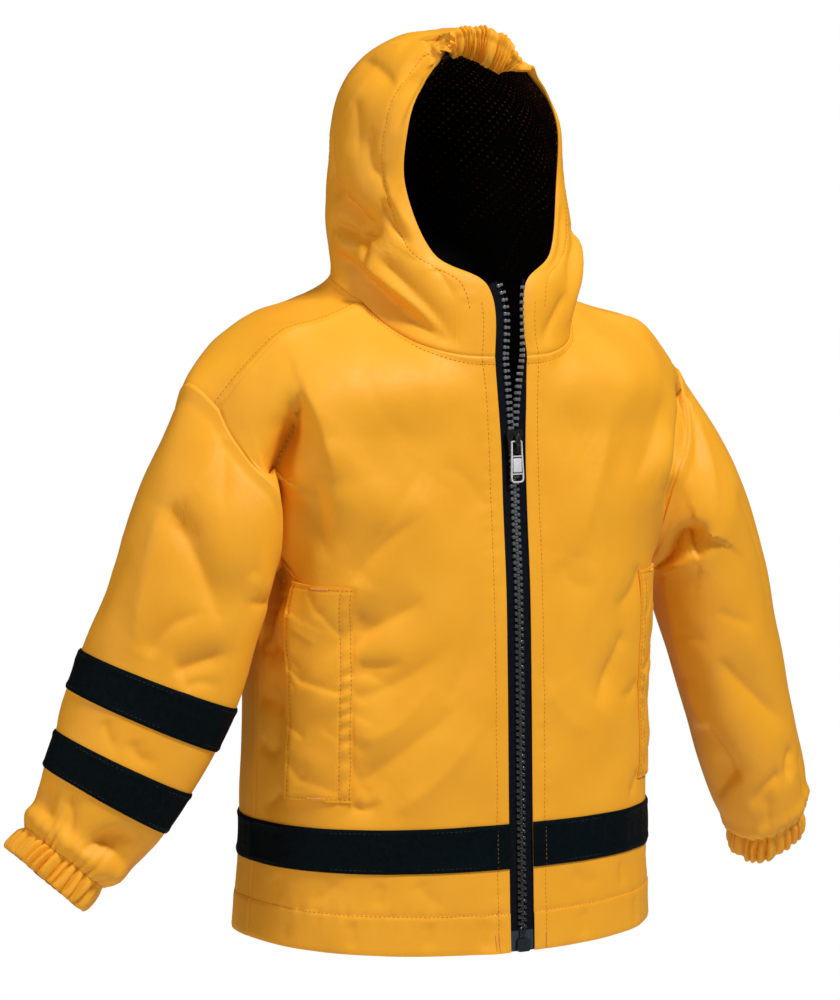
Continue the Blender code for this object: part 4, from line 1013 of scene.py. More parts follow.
# ---------------------------------------------------------------- Blender objects
def mesh_object(name, points, faces, made_of, coordinates=None, angle=60):
    """An object from points in millimetres; edges sharper than the angle, in degrees, stay sharp."""
    mesh = bpy.data.meshes.new(name)
    mesh.from_pydata((np.asarray(points, float) * MM).tolist(), [], faces)
    mesh.materials.append(made_of)
    mesh.shade_smooth()
    mesh.set_sharp_from_angle(angle=math.radians(angle))
    if coordinates is not None:
        layer = mesh.attributes.new("cloth", "FLOAT_VECTOR", "POINT")
        layer.data.foreach_set("vector", np.asarray(coordinates, np.float32).ravel())
    made = bpy.data.objects.new(name, mesh)
    bpy.context.scene.collection.objects.link(made)
    return made


def wall_object(name, outer, inner, made_of, coordinates, closed=False):
    """A closed wall between an outer and an inner grid of points."""
    rows, columns = outer.shape[:2]
    wide = columns if closed else columns - 1
    row = np.arange(rows - 1)[:, None]
    column = np.arange(wide)[None, :]
    beside = (column + 1) % columns
    quads = np.stack([row * columns + column, row * columns + beside,
                      (row + 1) * columns + beside, (row + 1) * columns + column], -1).reshape(-1, 4)
    count = rows * columns
    middle = outer[rows // 2, columns // 2] - inner[rows // 2, columns // 2]
    cell = quads[(rows // 2) * wide + min(columns // 2, wide - 1)]
    flat = outer.reshape(-1, 3)
    facing = np.dot(np.cross(flat[cell[1]] - flat[cell[0]], flat[cell[3]] - flat[cell[0]]), middle)
    if facing < 0:
        quads = quads[:, ::-1]
    faces = [tuple(quad) for quad in quads.tolist()]
    faces += [tuple(count + index for index in reversed(quad)) for quad in quads.tolist()]
    edges = np.vstack([quads[:, [k, (k + 1) % 4]] for k in range(4)])
    known = set(map(tuple, edges.tolist()))
    faces += [(b, a, count + a, count + b) for a, b in known if (b, a) not in known]
    points = np.vstack([flat, inner.reshape(-1, 3)])
    return mesh_object(name, points, faces, made_of, np.vstack([coordinates, coordinates]))


def dress(made, nodes, body="garment"):
    """Puts an object on its body and in the place of its nodes."""
    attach(made, body)
    if nodes:
        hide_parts(*nodes)


def on_side(side, grid):
    """A grid of the wearer's left, put on its own side."""
    return grid * (1 if side == "left" else -1, 1, 1)


def cloth_piece(name, side, outer, inner, made_of, spread, node, closed=False):
    """A cloth wall with its slot, in the place of its node. spread is the millimetres across and along, for
    weaves.
    """
    across, along = np.meshgrid(*spread)
    coordinates = np.stack([across, along, np.zeros(across.shape)], -1).reshape(-1, 3)
    made = wall_object(name, on_side(side, outer), on_side(side, inner), MATERIALS[made_of], coordinates,
                       closed)
    dress(made, [node])


def panel_piece(name, side, panel, node, columns=slice(None)):
    """A wall of coated cloth from a panel, or from some of its columns."""
    inner = panel.points - panel.normal * WALL
    breadth = lengths_along(panel.points[len(panel.levels) // 2])[-1]
    cloth_piece(name, side, panel.points[:, columns], inner[:, columns], "coated_cloth",
                (panel.shares[columns] * breadth, panel.levels), node, closed=panel.closed)


# ---------------------------------------------------------------- stitches
class Stitches:
    """Many small thread stitches, joined in one mesh.

    Each is a spindle of five sides, with its two tips sunk in the cloth and its middle raised.
    """

    SIDES = 5

    def __init__(self):
        self.points = []
        self.faces = []

    def add(self, centre, along, out, length=STITCH_LENGTH, radius=STITCH_RADIUS):
        along = unit(along)
        beside = unit(np.cross(along, out))
        out = np.cross(beside, along)
        base, sides = len(self.points), self.SIDES
        tip = along * length / 2
        sunk = centre - out * radius * 0.8
        self.points.append(sunk - tip)
        for place in (-0.34, 0.34):
            middle = centre + along * (place * length) + out * 0.35 * radius
            for turn in range(sides):
                angle = 2 * math.pi * turn / sides
                self.points.append(middle + (out * math.sin(angle) + beside * math.cos(angle)) * radius)
        self.points.append(sunk + tip)
        for turn in range(sides):
            one, two = base + 1 + turn, base + 1 + (turn + 1) % sides
            self.faces.append((base, two, one))
            self.faces.append((one, two, two + sides, one + sides))
            self.faces.append((base + 1 + 2 * sides, one + sides, two + sides))

    def run(self, line, normal, pitch=PITCH, length=STITCH_LENGTH):
        """Stitches along a line of points with normals."""
        total = lengths_along(line)
        at = (np.arange(int(total[-1] / pitch)) + 0.5) * pitch
        out = between(at, total, normal)
        place = between(at, total, line) - out * 0.05
        ahead = between(at + 0.4, total, line) - between(at - 0.4, total, line)
        for stitch in zip(place, ahead, out):
            self.add(*stitch, length)

    def bar(self, line, normal, half_width):
        """A bartack: close zigzag across a short line."""
        total = lengths_along(line)
        at = np.linspace(0, total[-1], max(int(total[-1] / TACK_PITCH), 2) + 1)
        place, out = between(at, total, line), between(at, total, normal)
        for k in range(len(at) - 1):
            along = place[k + 1] - place[k]
            across = unit(np.cross(out[k], along)) * (1 if k % 2 else -1)
            middle = (place[k] + place[k + 1]) / 2 + out[k] * 0.22
            self.add(middle, along + across * 2 * half_width, out[k], 2.2 * half_width, 0.26)

    def make(self, name, made_of):
        dress(mesh_object(name, self.points, self.faces, MATERIALS[made_of], angle=180), ())


threads = Stitches()
light_threads = Stitches()
tan_threads = Stitches()
navy_threads = Stitches()


def sewn(panel, path, side):
    """A row of yellow stitches along a path on a panel."""
    line, normal = panel.at(*path)
    threads.run(on_side(side, line), on_side(side, normal))


def tacked(panel, path, side, half_width):
    """A light bartack along a path on a panel."""
    line, normal = panel.at(*path)
    light_threads.bar(on_side(side, line), on_side(side, normal), half_width)


# ---------------------------------------------------------------- materials
class Nodes:
    """A short way to build a material's nodes. Methods that make a node return its output."""

    def __init__(self, name):
        self.material = bpy.data.materials.new(name)
        self.material.use_nodes = True
        self.tree = self.material.node_tree
        self.shader = self.tree.nodes["Principled BSDF"]

    def give(self, socket, value):
        """Links an input to another node, or sets its own value."""
        if isinstance(value, bpy.types.NodeSocket):
            self.tree.links.new(value, socket)
        else:
            socket.default_value = value

    def node(self, kind, inputs=(), **settings):
        made = self.tree.nodes.new(kind)
        for key, value in settings.items():
            setattr(made, key, value)
        for key, value in dict(inputs).items():
            self.give(made.inputs[key], value)
        return made

    def math(self, operation, first, second=0.0):
        return self.node("ShaderNodeMath", {0: first, 1: second}, operation=operation).outputs[0]

    def mix(self, factor, first, second):
        return self.node("ShaderNodeMix", {"Factor": factor, 6: first, 7: second},
                         data_type="RGBA").outputs[2]

    def set(self, socket, value):
        self.give(self.shader.inputs[socket], value)

    def noise(self, scale, detail=2.0, roughness=0.5):
        return self.node("ShaderNodeTexNoise", {"Scale": scale, "Detail": detail, "Roughness": roughness,
                                                "Vector": self.place()}).outputs["Fac"]

    def place(self):
        return self.node("ShaderNodeTexCoord").outputs["Object"]

    def cloth(self):
        """Millimetres across and along the piece."""
        place = self.node("ShaderNodeAttribute", attribute_name="cloth").outputs["Vector"]
        return self.node("ShaderNodeSeparateXYZ", {"Vector": place}).outputs

    def ramp(self, source, stops):
        made = self.node("ShaderNodeValToRGB")
        self.tree.links.new(source, made.inputs["Fac"])
        elements = made.color_ramp.elements
        while len(elements) < len(stops):
            elements.new(0.5)
        for element, (place, colour) in zip(elements, stops):
            element.position = place
            element.color = (*colour, 1)
        return made.outputs["Color"]

    def range(self, source, low, high, to_low, to_high):
        return self.node("ShaderNodeMapRange", {"Value": source, "From Min": low, "From Max": high,
                                                "To Min": to_low, "To Max": to_high}).outputs["Result"]

    def bump(self, height, strength, distance, normal=None):
        made = self.node("ShaderNodeBump", {"Height": height, "Strength": strength, "Distance": distance})
        if normal is not None:
            self.tree.links.new(normal, made.inputs["Normal"])
        return made.outputs["Normal"]


RIB = 0.9                           # of the navy tapes' weave
HOLE_PITCH, HOLE_RISE = 5.6, 3.9    # of the mesh's holes, across and along


def coated_cloth(name, light, dark):
    """Coated cloth: patches of two near colours, fine grain, creping and a soft shine."""
    nodes = Nodes(name)
    patches = nodes.noise(26.0, 3.0)
    nodes.set("Base Color", nodes.ramp(patches, ((0.30, dark), (0.70, light))))
    nodes.set("Roughness", nodes.range(nodes.noise(160.0, 3.0), 0.25, 0.75, 0.54, 0.64))
    nodes.set("Specular IOR Level", 0.36)
    nodes.set("Sheen Weight", 0.012)
    nodes.set("Sheen Roughness", 0.5)
    nodes.set("Sheen Tint", (0.80, 0.82, 1.0, 1))
    grain = nodes.bump(nodes.noise(2100.0, 2.0), 0.30, 0.00012)
    creped = nodes.bump(nodes.noise(330.0, 3.0, 0.6), 0.20, 0.0005, grain)
    nodes.set("Normal", nodes.bump(nodes.noise(70.0, 2.0), 0.16, 0.0014, creped))
    return nodes.material


def woven_tape(name, light, dark, roughness=0.62, film=None):
    """A ribbed tape. film is the height and the two colours of a stiff film at its foot."""
    nodes = Nodes(name)
    cloth = nodes.cloth()
    warp = nodes.math("SINE", nodes.math("MULTIPLY", cloth["X"], 2 * math.pi / RIB))
    weft = nodes.math("SINE", nodes.math("MULTIPLY", cloth["Y"], 2 * math.pi / (RIB * 0.8)))
    weave = nodes.math("MULTIPLY", warp, weft)
    threads_colour = nodes.ramp(nodes.noise(420.0, 3.0), ((0.3, dark), (0.72, light)))
    if film is not None:
        height, film_light, film_dark = film
        grid = nodes.ramp(nodes.range(weave, -0.6, 0.6, 0.0, 1.0), ((0.2, film_dark), (0.8, film_light)))
        at_foot = nodes.range(cloth["Y"], height - 0.4, height, 1.0, 0.0)
        threads_colour = nodes.mix(at_foot, threads_colour, grid)
    nodes.set("Base Color", threads_colour)
    nodes.set("Roughness", nodes.range(nodes.noise(300.0, 2.0), 0.3, 0.7, roughness - 0.08,
                                       roughness + 0.08))
    nodes.set("Specular IOR Level", 0.04)
    woven = nodes.bump(nodes.range(weave, -1.0, 1.0, 0.0, 1.0), 0.35, 0.00018)
    nodes.set("Normal", nodes.bump(nodes.noise(110.0, 3.0), 0.25, 0.0009, woven))
    return nodes.material


def dotted_mesh(name):
    """Black mesh with small holes in staggered rows, through which the cloth behind shows in painted shade:
    patchy, and lighter higher up the hood.
    """
    nodes = Nodes(name)
    cloth = nodes.cloth()
    row = nodes.math("DIVIDE", cloth["Y"], HOLE_RISE)
    odd = nodes.math("MODULO", nodes.math("FLOOR", row), 2.0)
    shifted = nodes.math("ADD", nodes.math("DIVIDE", cloth["X"], HOLE_PITCH),
                         nodes.math("MULTIPLY", nodes.math("ABSOLUTE", odd), 0.5))
    squares = []
    for place, size in ((shifted, HOLE_PITCH), (row, HOLE_RISE)):
        off = nodes.math("MULTIPLY", nodes.math("SUBTRACT", nodes.math("FRACT", place), 0.5), size)
        squares.append(nodes.math("MULTIPLY", off, off))
    hole = nodes.range(nodes.math("SQRT", nodes.math("ADD", *squares)), 0.55, 0.85, 1.0, 0.0)
    # Painted shade and light of the yellow cloth seen through the holes: patchy, dark toward the neck,
    # lighter higher up.
    lit = nodes.math("MULTIPLY", nodes.noise(90.0, 2.0), nodes.range(cloth["Y"], 10.0, 125.0, 0.45, 1.0))
    behind = nodes.ramp(lit, ((0.26, (0.006, 0.002, 0.001)), (0.42, (0.16, 0.026, 0.003)),
                              (0.62, (0.52, 0.13, 0.012))))
    nodes.set("Base Color", nodes.mix(hole, (0.0022, 0.0022, 0.0028, 1), behind))
    nodes.set("Roughness", nodes.range(nodes.noise(500.0, 2.0), 0.3, 0.7, 0.8, 0.95))
    nodes.set("Specular IOR Level", 0.15)
    nodes.set("Normal", nodes.bump(nodes.math("SUBTRACT", 1.0, hole), 0.5, 0.0003))
    return nodes.material


def plain_finish(name, light, dark, roughness, metallic=0.0, coat=0.0, specular=0.5, rough=0.08):
    """Thread, metal or plastic with a slight unevenness; rough is the strength of its relief."""
    nodes = Nodes(name)
    nodes.set("Base Color", nodes.ramp(nodes.noise(600.0, 3.0), ((0.3, dark), (0.7, light))))
    nodes.set("Specular IOR Level", specular)
    nodes.set("Roughness", nodes.range(nodes.noise(360.0, 3.0), 0.3, 0.7, roughness * 0.8, roughness * 1.2))
    nodes.set("Metallic", metallic)
    nodes.set("Coat Weight", coat)
    nodes.set("Coat Roughness", 0.12)
    nodes.set("Normal", nodes.bump(nodes.noise(900.0, 2.0), rough, 0.0002))
    return nodes.material


def moulded_teeth(name):
    """Moulded teeth with a painted highlight: lighter toward the slider at the top, where they catch the
    light, darker toward the hem, with a little random tone.
    """
    nodes = Nodes(name)
    height = nodes.node("ShaderNodeSeparateXYZ", {"Vector": nodes.place()}).outputs["Z"]
    # Painted highlight: the teeth turn lighter from the hem up to the slider, plus a little random tone from
    # noise.
    painted_highlight_and_tone = nodes.math("ADD", nodes.range(height, HEM_LEVEL * MM, SLIDER_LEVEL * MM, 0.0, 0.9),
                        nodes.math("MULTIPLY", nodes.noise(700.0, 3.0), 0.12))
    nodes.set("Base Color", nodes.ramp(painted_highlight_and_tone, ((0.05, (0.009, 0.012, 0.015)), (0.60, (0.028, 0.034, 0.040)),
                                                (0.96, (0.130, 0.146, 0.162)))))
    nodes.set("Roughness", nodes.range(nodes.noise(500.0, 3.0), 0.3, 0.7, 0.22, 0.34))
    nodes.set("Coat Weight", 0.6)
    nodes.set("Coat Roughness", 0.12)
    nodes.set("Normal", nodes.bump(nodes.noise(1400.0, 2.0), 0.05, 0.0001))
    return nodes.material


MATERIALS = {
    "coated_cloth": coated_cloth("coated_cloth_yellow", (0.900, 0.415, 0.019), (0.862, 0.380, 0.014)),
    "thread": plain_finish("thread_yellow", (0.72, 0.25, 0.016), (0.50, 0.145, 0.008), 0.7, specular=0.15),
    "thread_light": plain_finish("thread_light", (0.95, 0.50, 0.13), (0.84, 0.36, 0.07), 0.7, specular=0.15),
    "thread_tan": plain_finish("thread_tan", (0.30, 0.15, 0.04), (0.20, 0.09, 0.02), 0.6, specular=0.2),
    "thread_navy": plain_finish("thread_navy", (0.0036, 0.0086, 0.0124), (0.0020, 0.0050, 0.0076), 0.7),
    "navy_tape": woven_tape("navy_tape_woven", (0.0022, 0.0062, 0.0088), (0.0010, 0.0032, 0.0050)),
    "zip_tape": woven_tape("zip_tape_woven", (0.0060, 0.0080, 0.0140), (0.0030, 0.0042, 0.0080), 0.7,
                           (12.8, (0.052, 0.074, 0.104), (0.016, 0.026, 0.040))),
    "black_mesh": dotted_mesh("mesh_black_dotted"),
    "teeth": moulded_teeth("teeth_moulded"),
    "box": plain_finish("box_moulded", (0.0085, 0.0155, 0.0220), (0.0050, 0.0100, 0.0150), 0.34,
                        coat=0.5, rough=0.03),
    "dark_metal": plain_finish("slider_dark", (0.0085, 0.0105, 0.0150), (0.0050, 0.0065, 0.0095), 0.36,
                               coat=0.25, rough=0.02),
    "bright_metal": plain_finish("pull_bright", (0.86, 0.90, 1.0), (0.74, 0.78, 0.88), 0.34, 0.25, 0.5,
                                 rough=0.02),
    "grey_metal": plain_finish("pull_grey", (0.085, 0.095, 0.115), (0.060, 0.068, 0.084), 0.30, 0.4, 0.5,
                               rough=0.02),
}


# ---------------------------------------------------------------- laid-on strips and patches
def laid_on(name, side, panel, levels, shares, node, made_of, profile, lift=0.3, thick=0.8, open_sides=True):
    """A strip or patch that lies on a panel, made from its points, moved out.

    Its free edges turn down to the panel; open_sides says whether that holds for its two sides too.
    """
    points, normal = panel.patch(levels, shares)
    across = np.linalg.norm(np.diff(points, axis=1), axis=2).mean(axis=0)
    along = np.linalg.norm(np.diff(points, axis=0), axis=2).mean(axis=1)
    spread = [np.append(0.0, np.cumsum(gaps)) for gaps in (across, along)]
    outer = points + normal * (lift + thick + profile(*spread))[:, :, None]
    inner = points + normal * (lift - 0.15)
    edge = np.ones(points.shape[:2], bool)
    edge[1:-1, slice(1, -1) if open_sides else slice(None)] = False
    outer[edge] -= (normal * 0.35)[edge]
    cloth_piece(name, side, outer, inner, made_of, spread, node,
                closed=panel.closed)
    return outer, normal


def tape_profile(across, along):
    """Two raised edges along a navy tape, and small crinkles across it."""
    up = np.linspace(0, BAND_WIDTH, len(along))[:, None]
    edges = sum(np.exp(-((up - edge) / 1.5) ** 2) for edge in (TAPE_STITCH, BAND_WIDTH - TAPE_STITCH))
    crinkle = (np.sin(across / 5.3 * 2 * math.pi / 2.1 + 2.2 * np.sin(across / 31))
               * (0.5 + 0.5 * np.sin(across / 47 + 1)))[None, :]
    sag = np.sin(across / 19 * 2 * math.pi / 3.3 + 0.8)[None, :]
    return 0.50 * edges + (0.36 * crinkle + 0.45 * sag) * np.sin(math.pi * up / BAND_WIDTH)


def navy_band(name, side, panel, low, high, node):
    """A navy tape right across a panel, sewn along both its edges."""
    laid_on(name, side, panel, np.linspace(low, high, 17), panel.shares, node, "navy_tape", tape_profile,
            open_sides=False)
    for level in (high - TAPE_STITCH, low + TAPE_STITCH):
        points, normal = panel.patch([level], panel.shares)
        line, out = points[0] + normal[0] * 1.25, normal[0]
        navy_threads.run(on_side(side, line), on_side(side, out), pitch=3.0, length=2.2)


# ---------------------------------------------------------------- fronts and back
def relieve(panel, pulls, phase, seams, free, more=0.0):
    """Gives a panel its rows of stitches, lips at its seams and soft free edges."""
    relief = np.zeros(panel.points.shape[:2]) + more
    for index, (row, pull) in enumerate(pulls):
        relief += row_relief(panel, row, pull, phase + index)
    for border in seams:
        relief += seam_lip(panel.edge_distance(border))
    for border in free:
        relief += rounded_edge(panel.edge_distance(border))
    panel.raise_by(relief * keep_edges(panel, seams))
    panel.renew()


def doubled_hem(panel):
    """How far the turned-up hem stands out."""
    return HEM_RISE * (panel.edge_distance("bottom") < HEM_TURN)


def dress_front(side):
    """A front with its rows of stitches, bartacks, hem band and pocket."""
    panel = front_panel(side)
    rows = (panel.inset("first", ZIP_STITCH), panel.inset("top", NECK_STITCH, 0.0, NECK_SHARE),
            panel.inset("bottom", HEM_STITCH_LEVEL - HEM_LEVEL))
    more = doubled_hem(panel)
    if side == "right":
        along_zip = np.exp(-((panel.shares * FRONT_BREADTH - 12.0) / 9.0) ** 2)[None, :]
        more = more + CORNER_CURL * along_zip * np.exp(-(panel.levels - HEM_LEVEL) / 7.0)[:, None]
    relieve(panel, zip(rows, (ZIP_PULL, NECK_PULL, HEM_PULL)), FRONT_PULL_PHASE[side], ("last", "top"),
            ("first", "bottom"), more)
    panel_piece("front_%s_cloth" % side, side, panel, "front_" + side)
    for row in rows:
        sewn(panel, row, side)
    for distance, top, half_width in ZIP_TACKS[side]:
        tacked(panel, panel.inset("first", distance, HEM_LEVEL + 1, top), side, half_width)
    low = BAND_TOP - BAND_WIDTH
    navy_band("hem_band_%s_tape" % side, side, panel, low, BAND_TOP, "hem_band_" + side)
    line, normal = panel.at(*panel.inset("first", ZIP_STITCH, low, BAND_TOP))
    tan_threads.run(on_side(side, line + normal * 1.2), on_side(side, normal))
    dress_pocket(side, panel)


WELT_WIDTH, WELT_HEIGHT = 46.0, POCKET_TOP - POCKET_BOTTOM
WELT_COLUMNS, WELT_ROWS = 42, 110   # of its grid
WELT_STITCHES = (1.6, 8.3)          # two rows beside the sewn edge
OPENING_STITCH = WELT_WIDTH - 2.2
# Short folds of a welt. below and above say how far they reach from their line.
Pucker = namedtuple("Pucker", "across up to_across to_up below above depth")
PUCKERS = (
    Pucker(46, 82, 36, 72, 1.6, 4.5, -1.1), Pucker(36, 72, 9, 66, 2.0, 6.0, -1.5),
    Pucker(46, 88, 37, 79, 1.4, 3.0, -0.7), Pucker(46, 74, 39, 67, 1.4, 3.0, -0.6),
    Pucker(46, 46, 34, 38, 1.6, 4.0, -0.7), Pucker(46, 26, 34, 13, 3.0, 6.0, -1.2),
    Pucker(34, 13, 9, 6, 3.0, 6.0, -1.1), Pucker(22, 115, 9, 101, 1.6, 4.0, -0.8),
    Pucker(30, 124, 22, 112, 1.8, 3.5, -0.6), Pucker(20, 44, 8, 38, 1.6, 4.0, -0.5),
    Pucker(40, 104, 26, 96, 2.0, 5.0, 0.6),
)
# Soft hollows and rises of a welt: level at the sewn edge, level it heads for, place across, height.
Billow = namedtuple("Billow", "up to_up across height")
BILLOWS = (Billow(20, 38, 30, 0.8), Billow(52, 30, 14, -0.9), Billow(84, 32, 32, 0.7),
           Billow(104, 18, 4, -0.8), Billow(68, 12, 18, 0.6))


def pucker_height(across, up, pucker):
    """A short fold of a patch, crisp below its line and soft above, fading at both ends."""
    run_across, run_up = pucker.to_across - pucker.across, pucker.to_up - pucker.up
    length = math.hypot(run_across, run_up)
    off_across, off_up = across - pucker.across, up - pucker.up
    along = (off_across * run_across + off_up * run_up) / length ** 2
    beside = math.copysign(1, run_across) * (off_up * run_across - off_across * run_up) / length
    wide = np.where(beside < 0, pucker.below, pucker.above)
    ends = np.exp(-(np.maximum(np.abs(along - 0.5) - 0.42, 0) / 0.14) ** 2)
    return pucker.depth * np.exp(-np.abs(beside / wide) ** 1.5) * ends


def groove(distance, depth, width):
    """The groove of a row of stitches at some distances from it."""
    return -depth * np.exp(-(distance / width) ** 2)


def pocket_profile(*_):
    """Relief of a welt: its rows of stitches, puckers between them, and a soft rise at the opening."""
    up = np.linspace(0, WELT_HEIGHT, WELT_ROWS)[:, None]
    across = np.linspace(0, WELT_WIDTH, WELT_COLUMNS)[None, :]
    height = groove(across - OPENING_STITCH, 0.60, 0.9) + groove(up - 2.0, 0.50, 1.0)
    height = height + groove(up - (WELT_HEIGHT - 2.0), 0.50, 1.0)
    for row in WELT_STITCHES:
        wave = (np.sin(up / 7.3 * 2 * math.pi / 1.3 + 2.4 * np.sin(up / 13 + row) + across / 3.0)
                * (0.6 + 0.4 * np.sin(up / 29)))
        height += groove(across - row, 0.55, 1.0)
        height += 0.34 * wave * np.exp(-((across - 5.0) / 3.2) ** 2)
    for pucker in PUCKERS:
        height += pucker_height(across, up, pucker)
    rise = up / WELT_HEIGHT
    swing = 0.9 * np.sin(rise * 2 * math.pi * 1.7 + 0.6) * np.sin(math.pi * rise)
    height += (1.9 + swing) * np.exp(-((across - WELT_WIDTH) / 9.0) ** 2)
    for billow in BILLOWS:
        middle = billow.up + (billow.to_up - billow.up) * across / WELT_WIDTH * 0.4
        height += (billow.height * np.exp(-((up - middle) / 7.0) ** 2)
                   * np.exp(-((across - billow.across) / 13) ** 2))
    return height


def dress_pocket(side, panel):
    """A pocket welt with its rows of stitches, and a bartack at its top and its bottom."""
    levels = np.linspace(POCKET_BOTTOM, POCKET_TOP, WELT_ROWS)
    shares = np.linspace(*POCKET_SHARES, WELT_COLUMNS)
    outer, normal = laid_on("pocket_%s_welt" % side, side, panel, levels, shares, "pocket_" + side,
                            "coated_cloth", pocket_profile, 0.35, 1.15)
    welt = Panel(levels, shares, outer, normal, BODY_CENTRE)

    def line(*places, count=400):
        return welt.path([(level, np.interp(across, (0, WELT_WIDTH), POCKET_SHARES))
                          for level, across in places], count)

    for across in (*WELT_STITCHES, OPENING_STITCH):
        sewn(welt, line((POCKET_BOTTOM + 1.5, across), (POCKET_TOP - 1.5, across)), side)
    for level in (POCKET_BOTTOM + 1.8, POCKET_TOP - 1.8):
        sewn(welt, line((level, 0), (level, WELT_WIDTH)), side)
        tacked(welt, line((level, 17), (level, 29), count=60), side, 0.9)


def dress_back():
    """The back with its hem band, and the mesh lining of its yoke."""
    panel = back_panel()
    rows = (panel.inset("top", NECK_STITCH, -1, -NECK_SHARE_BACK),
            panel.inset("top", NECK_STITCH, NECK_SHARE_BACK, 1),
            panel.inset("bottom", HEM_STITCH_LEVEL - HEM_LEVEL))
    hem = row_relief(panel, rows[2], HEM_PULL, 4.2)
    relieve(panel, zip(rows[:2], (NECK_PULL, NECK_PULL)), 1.0, ("first", "last", "top"), ("bottom",),
            hem + doubled_hem(panel))
    panel_piece("back_cloth", "left", panel, "back")
    for row in rows:
        sewn(panel, row, "left")
    navy_band("hem_band_back_tape", "left", panel, BAND_TOP - BAND_WIDTH, BAND_TOP, "hem_band_back")
    levels = np.linspace(-130, TOP_LEVEL - 0.5, 40)
    shares = np.linspace(-0.94, 0.94, 81)
    points, normal = panel.patch(levels, shares)
    outer = points - normal * (LINING_DEPTH + 0.6)
    cloth_piece("yoke_lining_mesh", "left", outer, outer - normal * LINING_WALL, "black_mesh",
                (shares * BACK_BREADTH, levels), "yoke_lining")


# ---------------------------------------------------------------- sleeves and cuffs
def dress_sleeve(side):
    """A sleeve with its cuff. The right one has two navy tapes."""
    panel = sleeve_panel(side)
    panel.renew()
    panel_piece("sleeve_%s_cloth" % side, side, panel, "sleeve_" + side)
    if side == "right":
        for place, (low, high) in SLEEVE_BANDS.items():
            navy_band("sleeve_band_%s_tape" % place, side, panel, low, high, "sleeve_band_" + place)
    dress_cuff(side, panel)


def smoothed_ring(ring, waves=5):
    """A closed ring without its short waves."""
    spectrum = np.fft.rfft(ring, axis=0)
    spectrum[waves + 1:] = 0
    return np.fft.irfft(spectrum, len(ring), axis=0)


def dress_cuff(side, panel):
    """An elastic casing with uneven gathers, drawn in by its elastic and flared at its mouth."""
    last = panel.points[-1]
    along = unit((last - panel.points[-4]).mean(axis=0))
    count = GATHERS * GATHER_STEPS
    ring_share = np.arange(count) / count
    ring = even(np.vstack([last, last[:1]]), ring_share)
    panel_share = np.interp(ring_share, np.append(ring_shares(last), 1), np.append(panel.shares, 1))
    calm_ring = smoothed_ring(ring)
    outwards = calm_ring - last.mean(axis=0)
    outwards = unit(outwards - np.outer(outwards @ along, along))
    steps = np.linspace(0, 1, 21)
    knots = (0, 0.10, 0.28, 0.48, 0.60, 0.80, 0.93, 1.0)
    swell = np.interp(steps, knots, (0.8, 1.0, 1.2, 1.25, 1.3, 1.3, 1.1, 0.85))
    base = np.interp(steps, knots, (-0.6, -0.2, 0.5, 0.8, 0.8, 0.6, 0.2, -0.6))
    rows = []
    for step, size, move in zip(steps, swell, base):
        wave = gather_wave(panel_share, GATHER_PHASE[side], step)
        free = min(step * 6, 1)
        lift = move + 4.5 * size * (wave - 0.45) * free
        slant = 0.9 * np.sin(2 * math.pi * ring_share + 1.2) * step + 0.7 * (wave - 0.4) * step
        rows.append(calm_ring + (ring - calm_ring) * (1 - free)
                    + along * (0.1 + step * CUFF_LENGTH + slant)[:, None] + outwards * lift[:, None])
    outer = np.array(rows)
    cloth_piece("cuff_%s_cloth" % side, side, outer, outer - outwards * CUFF_WALL, "coated_cloth",
                (ring_share * 200, steps * CUFF_LENGTH), "cuff_" + side,
                True)


# ---------------------------------------------------------------- hood
HOOD_CLOTHS = ("hood_right_cloth", "hood_left_cloth")


def dress_hood():
    """The two halves of the hood, sewn along the crown, the rim and the zip, with lining and casing."""
    panel = hood_panel()
    rims = [panel.inset(border, RIM_STITCH, 22, CASING_LEVEL - 8) for border in ("first", "last")]
    zips = [panel.inset(border, ZIP_STITCH, 0, 30) for border in ("first", "last")]
    crown = np.abs(panel.shares)[None, :] * HOOD_BREADTH
    more = seam_lip(crown, 0.5, 4.0) + sum(row_relief(panel, row, HOOD_ZIP_PULL, 2.0) for row in zips)
    relieve(panel, zip(rims, (RIM_PULL, RIM_PULL)), 0.9, ("bottom",), ("first", "last"), more)
    middle = len(panel.shares) // 2
    for name, columns in zip(HOOD_CLOTHS, (slice(0, middle + 1), slice(middle, None))):
        panel_piece(name, "left", panel, name.removesuffix("_cloth"), columns)
    for row in rims + zips:
        sewn(panel, row, "left")
    for share in (-0.012, 0.012):
        sewn(panel, panel.path([(3, share), (CASING_LEVEL - 2, share)]), "left")
    dress_hood_lining(panel)
    dress_casing(panel)


def dress_hood_lining(hood):
    """The mesh inside the hood. It ends at the facing of the rim, and hangs down free at the neck."""
    levels = np.linspace(0.5, CASING_LEVEL - 4, 47)
    shares = np.linspace(-0.97, 0.97, 91)
    facing = FACING * np.exp(-((levels - FACING_LEVEL) / FACING_SPREAD) ** 2)[:, None]
    ends = shares[None, :] * (1 - facing * (shares > 0)[None, :])
    rows, columns = hood.place(levels[:, None], ends)
    points, _ = hood.at(*np.broadcast_arrays(rows, columns))
    normal = normals(hood_form(levels, shares), HOOD_CENTRE)
    depth = LINING_DEPTH + 2.0 * fade((shares[-1] - np.abs(shares)) * HOOD_BREADTH, 20)
    outer = points - normal * depth[None, :, None]
    inwards = unit(-outer[0] * (1, 1, 0))
    hanging = outer[0] + inwards * 2.0 - (0, 0, 9.0)
    outer = np.concatenate([hanging[None], (outer[0] + hanging)[None] / 2, outer])
    normal = np.concatenate([-inwards[None], -inwards[None], normal])
    cloth_piece("hood_lining_mesh", "left", outer, outer - normal * LINING_WALL, "black_mesh",
                (shares * HOOD_BREADTH, np.append((-9.0, -4.5), levels)), "hood_lining")


